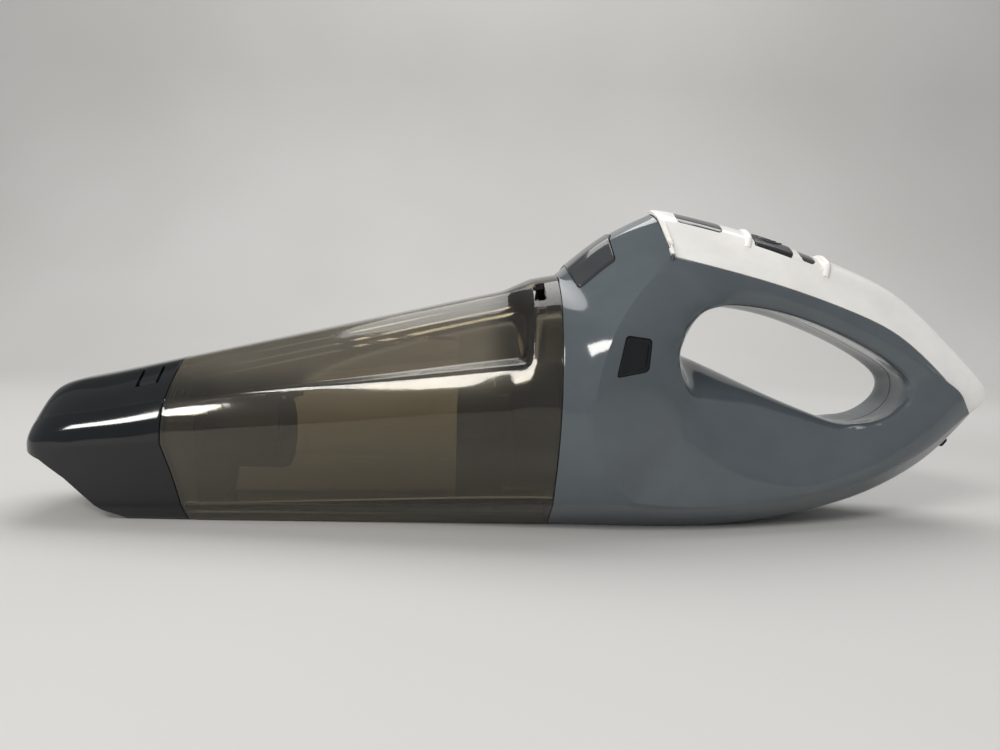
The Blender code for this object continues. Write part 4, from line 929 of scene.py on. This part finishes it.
def canister_form():
    """The outer surface of bin and nozzle together. A face's material number is its strip's."""
    bm = bmesh.new()
    crease = bm.edges.layers.float.new("crease_edge")
    rows = [first_row(bm, collar)]
    sections = [*BIN_SECTIONS, *NOZZLE_SECTIONS]
    nose = sections[-1]
    middle = [nose[0], *[(x - NOSE_MIDDLE_STEP, 0, z) for x, y, z in nose[1:-1]], nose[-1]]
    for strip, section in enumerate([*sections, middle]):
        row, faces = next_row(bm, rows[-1], section)
        rows.append(row)
        for face in faces:
            face.material_index = strip
    for k, value in LONG_LINES.items():
        for back, front in zip(rows[:LAST_LINE_ROW], rows[1:LAST_LINE_ROW]):
            sharpen(crease, back[k], front[k], value)
    for k in range(FIRST_STEP_POINT, 10):
        sharpen(crease, rows[1][k], rows[1][k + 1], STEP_TOP_EDGE)
        sharpen(crease, rows[2][k], rows[2][k + 1], STEP_FOOT_EDGE)
    return fitted(both_sides(bm, "canister_form"))


def smoked_clear():
    """Brown smoked plastic: tint in each face, a veil inside of fine dust, wear, painted shade and
    painted light, mirror-like gloss.
    """
    made, place, end = material_start("smoked_clear_plastic")
    width, height, length = place.axis("Y"), place.axis("Z"), place.axis("X")
    # Painted shade: a near-black, mostly opaque strip along the top middle stands for the darker look
    # of the flat spine facet.
    spine = (1 - width.maths("ABSOLUTE", width).from_to(0.0112, 0.0122)) * height.from_to(0.055, 0.060)
    film = place.noise(26, 4, 0.6).from_to(0.35, 0.8)
    # Partly painted shade: the band low down is made darker and more opaque, partly for debris inside
    # and partly as a painted reflection of the darker floor.
    low = 1 - height.from_to(0.030, 0.042)
    # Painted light: ahead of the collar the upper band is made lighter and more opaque, standing for
    # the bright backdrop seen through both walls.
    high = height.from_to(0.050, 0.066) * (1 - length.from_to(-0.022, -0.006))
    hair = place.noise(260, 3, 0.55, (0.3, 1.0, 6.0), (0.1, 0.35, 0.1)).from_to(0.68, 0.75)
    crossed = place.noise(230, 3, 0.55, (4.0, 1.0, 0.4), (0.2, -0.5, 0.3)).from_to(0.69, 0.76)
    rear = length.from_to(-0.07, 0.0)
    worn = (hair + crossed) * (0.35 + rear * 0.65) * place.noise(30, 2).from_to(0.42, 0.62)
    # How opaque the wall is: fine film and wear, plus the painted shade and painted light of the masks
    # above.
    haze_and_painted_light = 0.10 + film * 0.06 + low * 0.16 + high * 0.24 + spine * 0.62 + worn * 0.22
    waves = place.noise(300, 2) * 0.3
    bump = place.node("Bump", {}, {"Strength": 1.0, "Distance": 0.00005, "Height": waves})
    # Painted shade low down and painted light up high: the opaque layer's colour goes from dark brown
    # to light brown with height.
    dust_and_painted_light_colour = high.mixed((0.085, 0.075, 0.056), (0.22, 0.19, 0.135))
    # This opaque layer is partly fine dust and partly painted shade and painted light, where the masks
    # above say.
    dust = place.node("BsdfPrincipled", {}, {
        # Painted shade: near black on the spine strip.
        "Base Color": spine.mixed(dust_and_painted_light_colour, (0.018, 0.017, 0.015)),
        "Roughness": 0.30 + film * 0.10,
    })
    clear = place.node("BsdfTransparent", {}, {"Color": (0.66, 0.62, 0.52)})
    body = place.node("MixShader", {}, {0: haze_and_painted_light, 1: clear, 2: dust})
    gloss = place.node("BsdfPrincipled", {}, {
        "Base Color": (0.94, 0.93, 0.90), "Metallic": 1.0,
        "Roughness": 0.045 + film * 0.03 + worn * 0.25, "Normal": bump,
    })
    mirror = place.node("Fresnel", {}, {"IOR": 1.50, "Normal": bump})
    return finished(made, end, place.node("MixShader", {}, {0: mirror, 1: body, 2: gloss}))


# Two thin ribs run along the inside of each side, as deep as the wall and a little more.
BIN_RIB_STARTS, BIN_RIB_END = {76.6: -84.3, 30.7: -96.3}, -31.5
BIN_RIB_HEIGHT, BIN_RIB_INSET, BIN_RIB_DEPTH, ACROSS_BIN = 1.3, 0.9, 3.4, 130
LATCH_SLOT_Z, LATCH_SLOT_REACH, LATCH_SLOT_CORNER = 100, 30, 1.2

CANISTER = canister_form()
bin_shell = wall_over("bin_shell", CANISTER, lambda f: f.material_index < JOINT_STRIP)
for z, start in BIN_RIB_STARTS.items():
    across = Matrix.Translation(mm((start + BIN_RIB_END) / 2, 0, z))
    slab = prism(rectangle(BIN_RIB_END - start, ACROSS_BIN), across, BIN_RIB_HEIGHT, 0)
    rib = skin_piece("rib", CANISTER, slab, BIN_RIB_INSET, BIN_RIB_DEPTH)
    boolean(bin_shell, rib, "UNION")
x, y, length, width = LATCH_SLOT
for side in (-1, 1):
    slot_place = Matrix.Translation(mm(x, side * y, LATCH_SLOT_Z))
    slot = prism(rectangle(length, width), slot_place, LATCH_SLOT_REACH, LATCH_SLOT_CORNER)
    boolean(bin_shell, slot, "DIFFERENCE")
fit_out(smooth(bin_shell), "bin", "smoked_clear", smoked_clear(), "dust_bin")

# ---------------------------------------------------------------- inlet duct and flap
# A black sleeve in the bin's mouth carries a short pipe, and a rubber flap hangs on a pin
# at the pipe's end so that dust can't fall out.

dress(black_matte, "inlet_duct")
dress(soft_rubber, "flap_valve")

# ---------------------------------------------------------------- nozzle
# A gloss black hood pushes onto the bin's mouth and is scooped away below to a wide opening.
# A U-shaped cut on each side of the spine leaves a tongue that snaps into the sleeve.

SNAP_SLOT = [
    (-160, 13.1), (-158.8, 13.1), (-158.8, 21), (-152, 21),
    (-152, 13.1), (-150.8, 13.1), (-150.8, 22.3), (-160, 22.3),
]
SNAP_SLOT_Z, SNAP_SLOT_REACH, SNAP_SLOT_CORNER = 66, 28, 0.25
SCOOP = [
    (-230, -20), (-158, -20), (-164, 0.6), (-172, 4.2),
    (-186, 17.4), (-196, 24.6), (-204, 27.2), (-230, 30),
]
SCOOP_REACH = 90
nozzle = wall_over("nozzle_shell", CANISTER, lambda f: f.material_index >= JOINT_STRIP)
for side in (-1, 1):
    outline = [(x, side * y) for x, y in SNAP_SLOT]
    above = Matrix.Translation(mm(0, 0, SNAP_SLOT_Z))
    slot = prism(outline, above, SNAP_SLOT_REACH, SNAP_SLOT_CORNER)
    boolean(nozzle, slot, "DIFFERENCE")
boolean(nozzle, prism(SCOOP, SIDEWAYS, SCOOP_REACH, 0), "DIFFERENCE")
fit_out(smooth(nozzle), "nozzle", "black_gloss", black_gloss, "front_nozzle")

for rest in (BODY, CANISTER):
    bpy.data.objects.remove(rest)
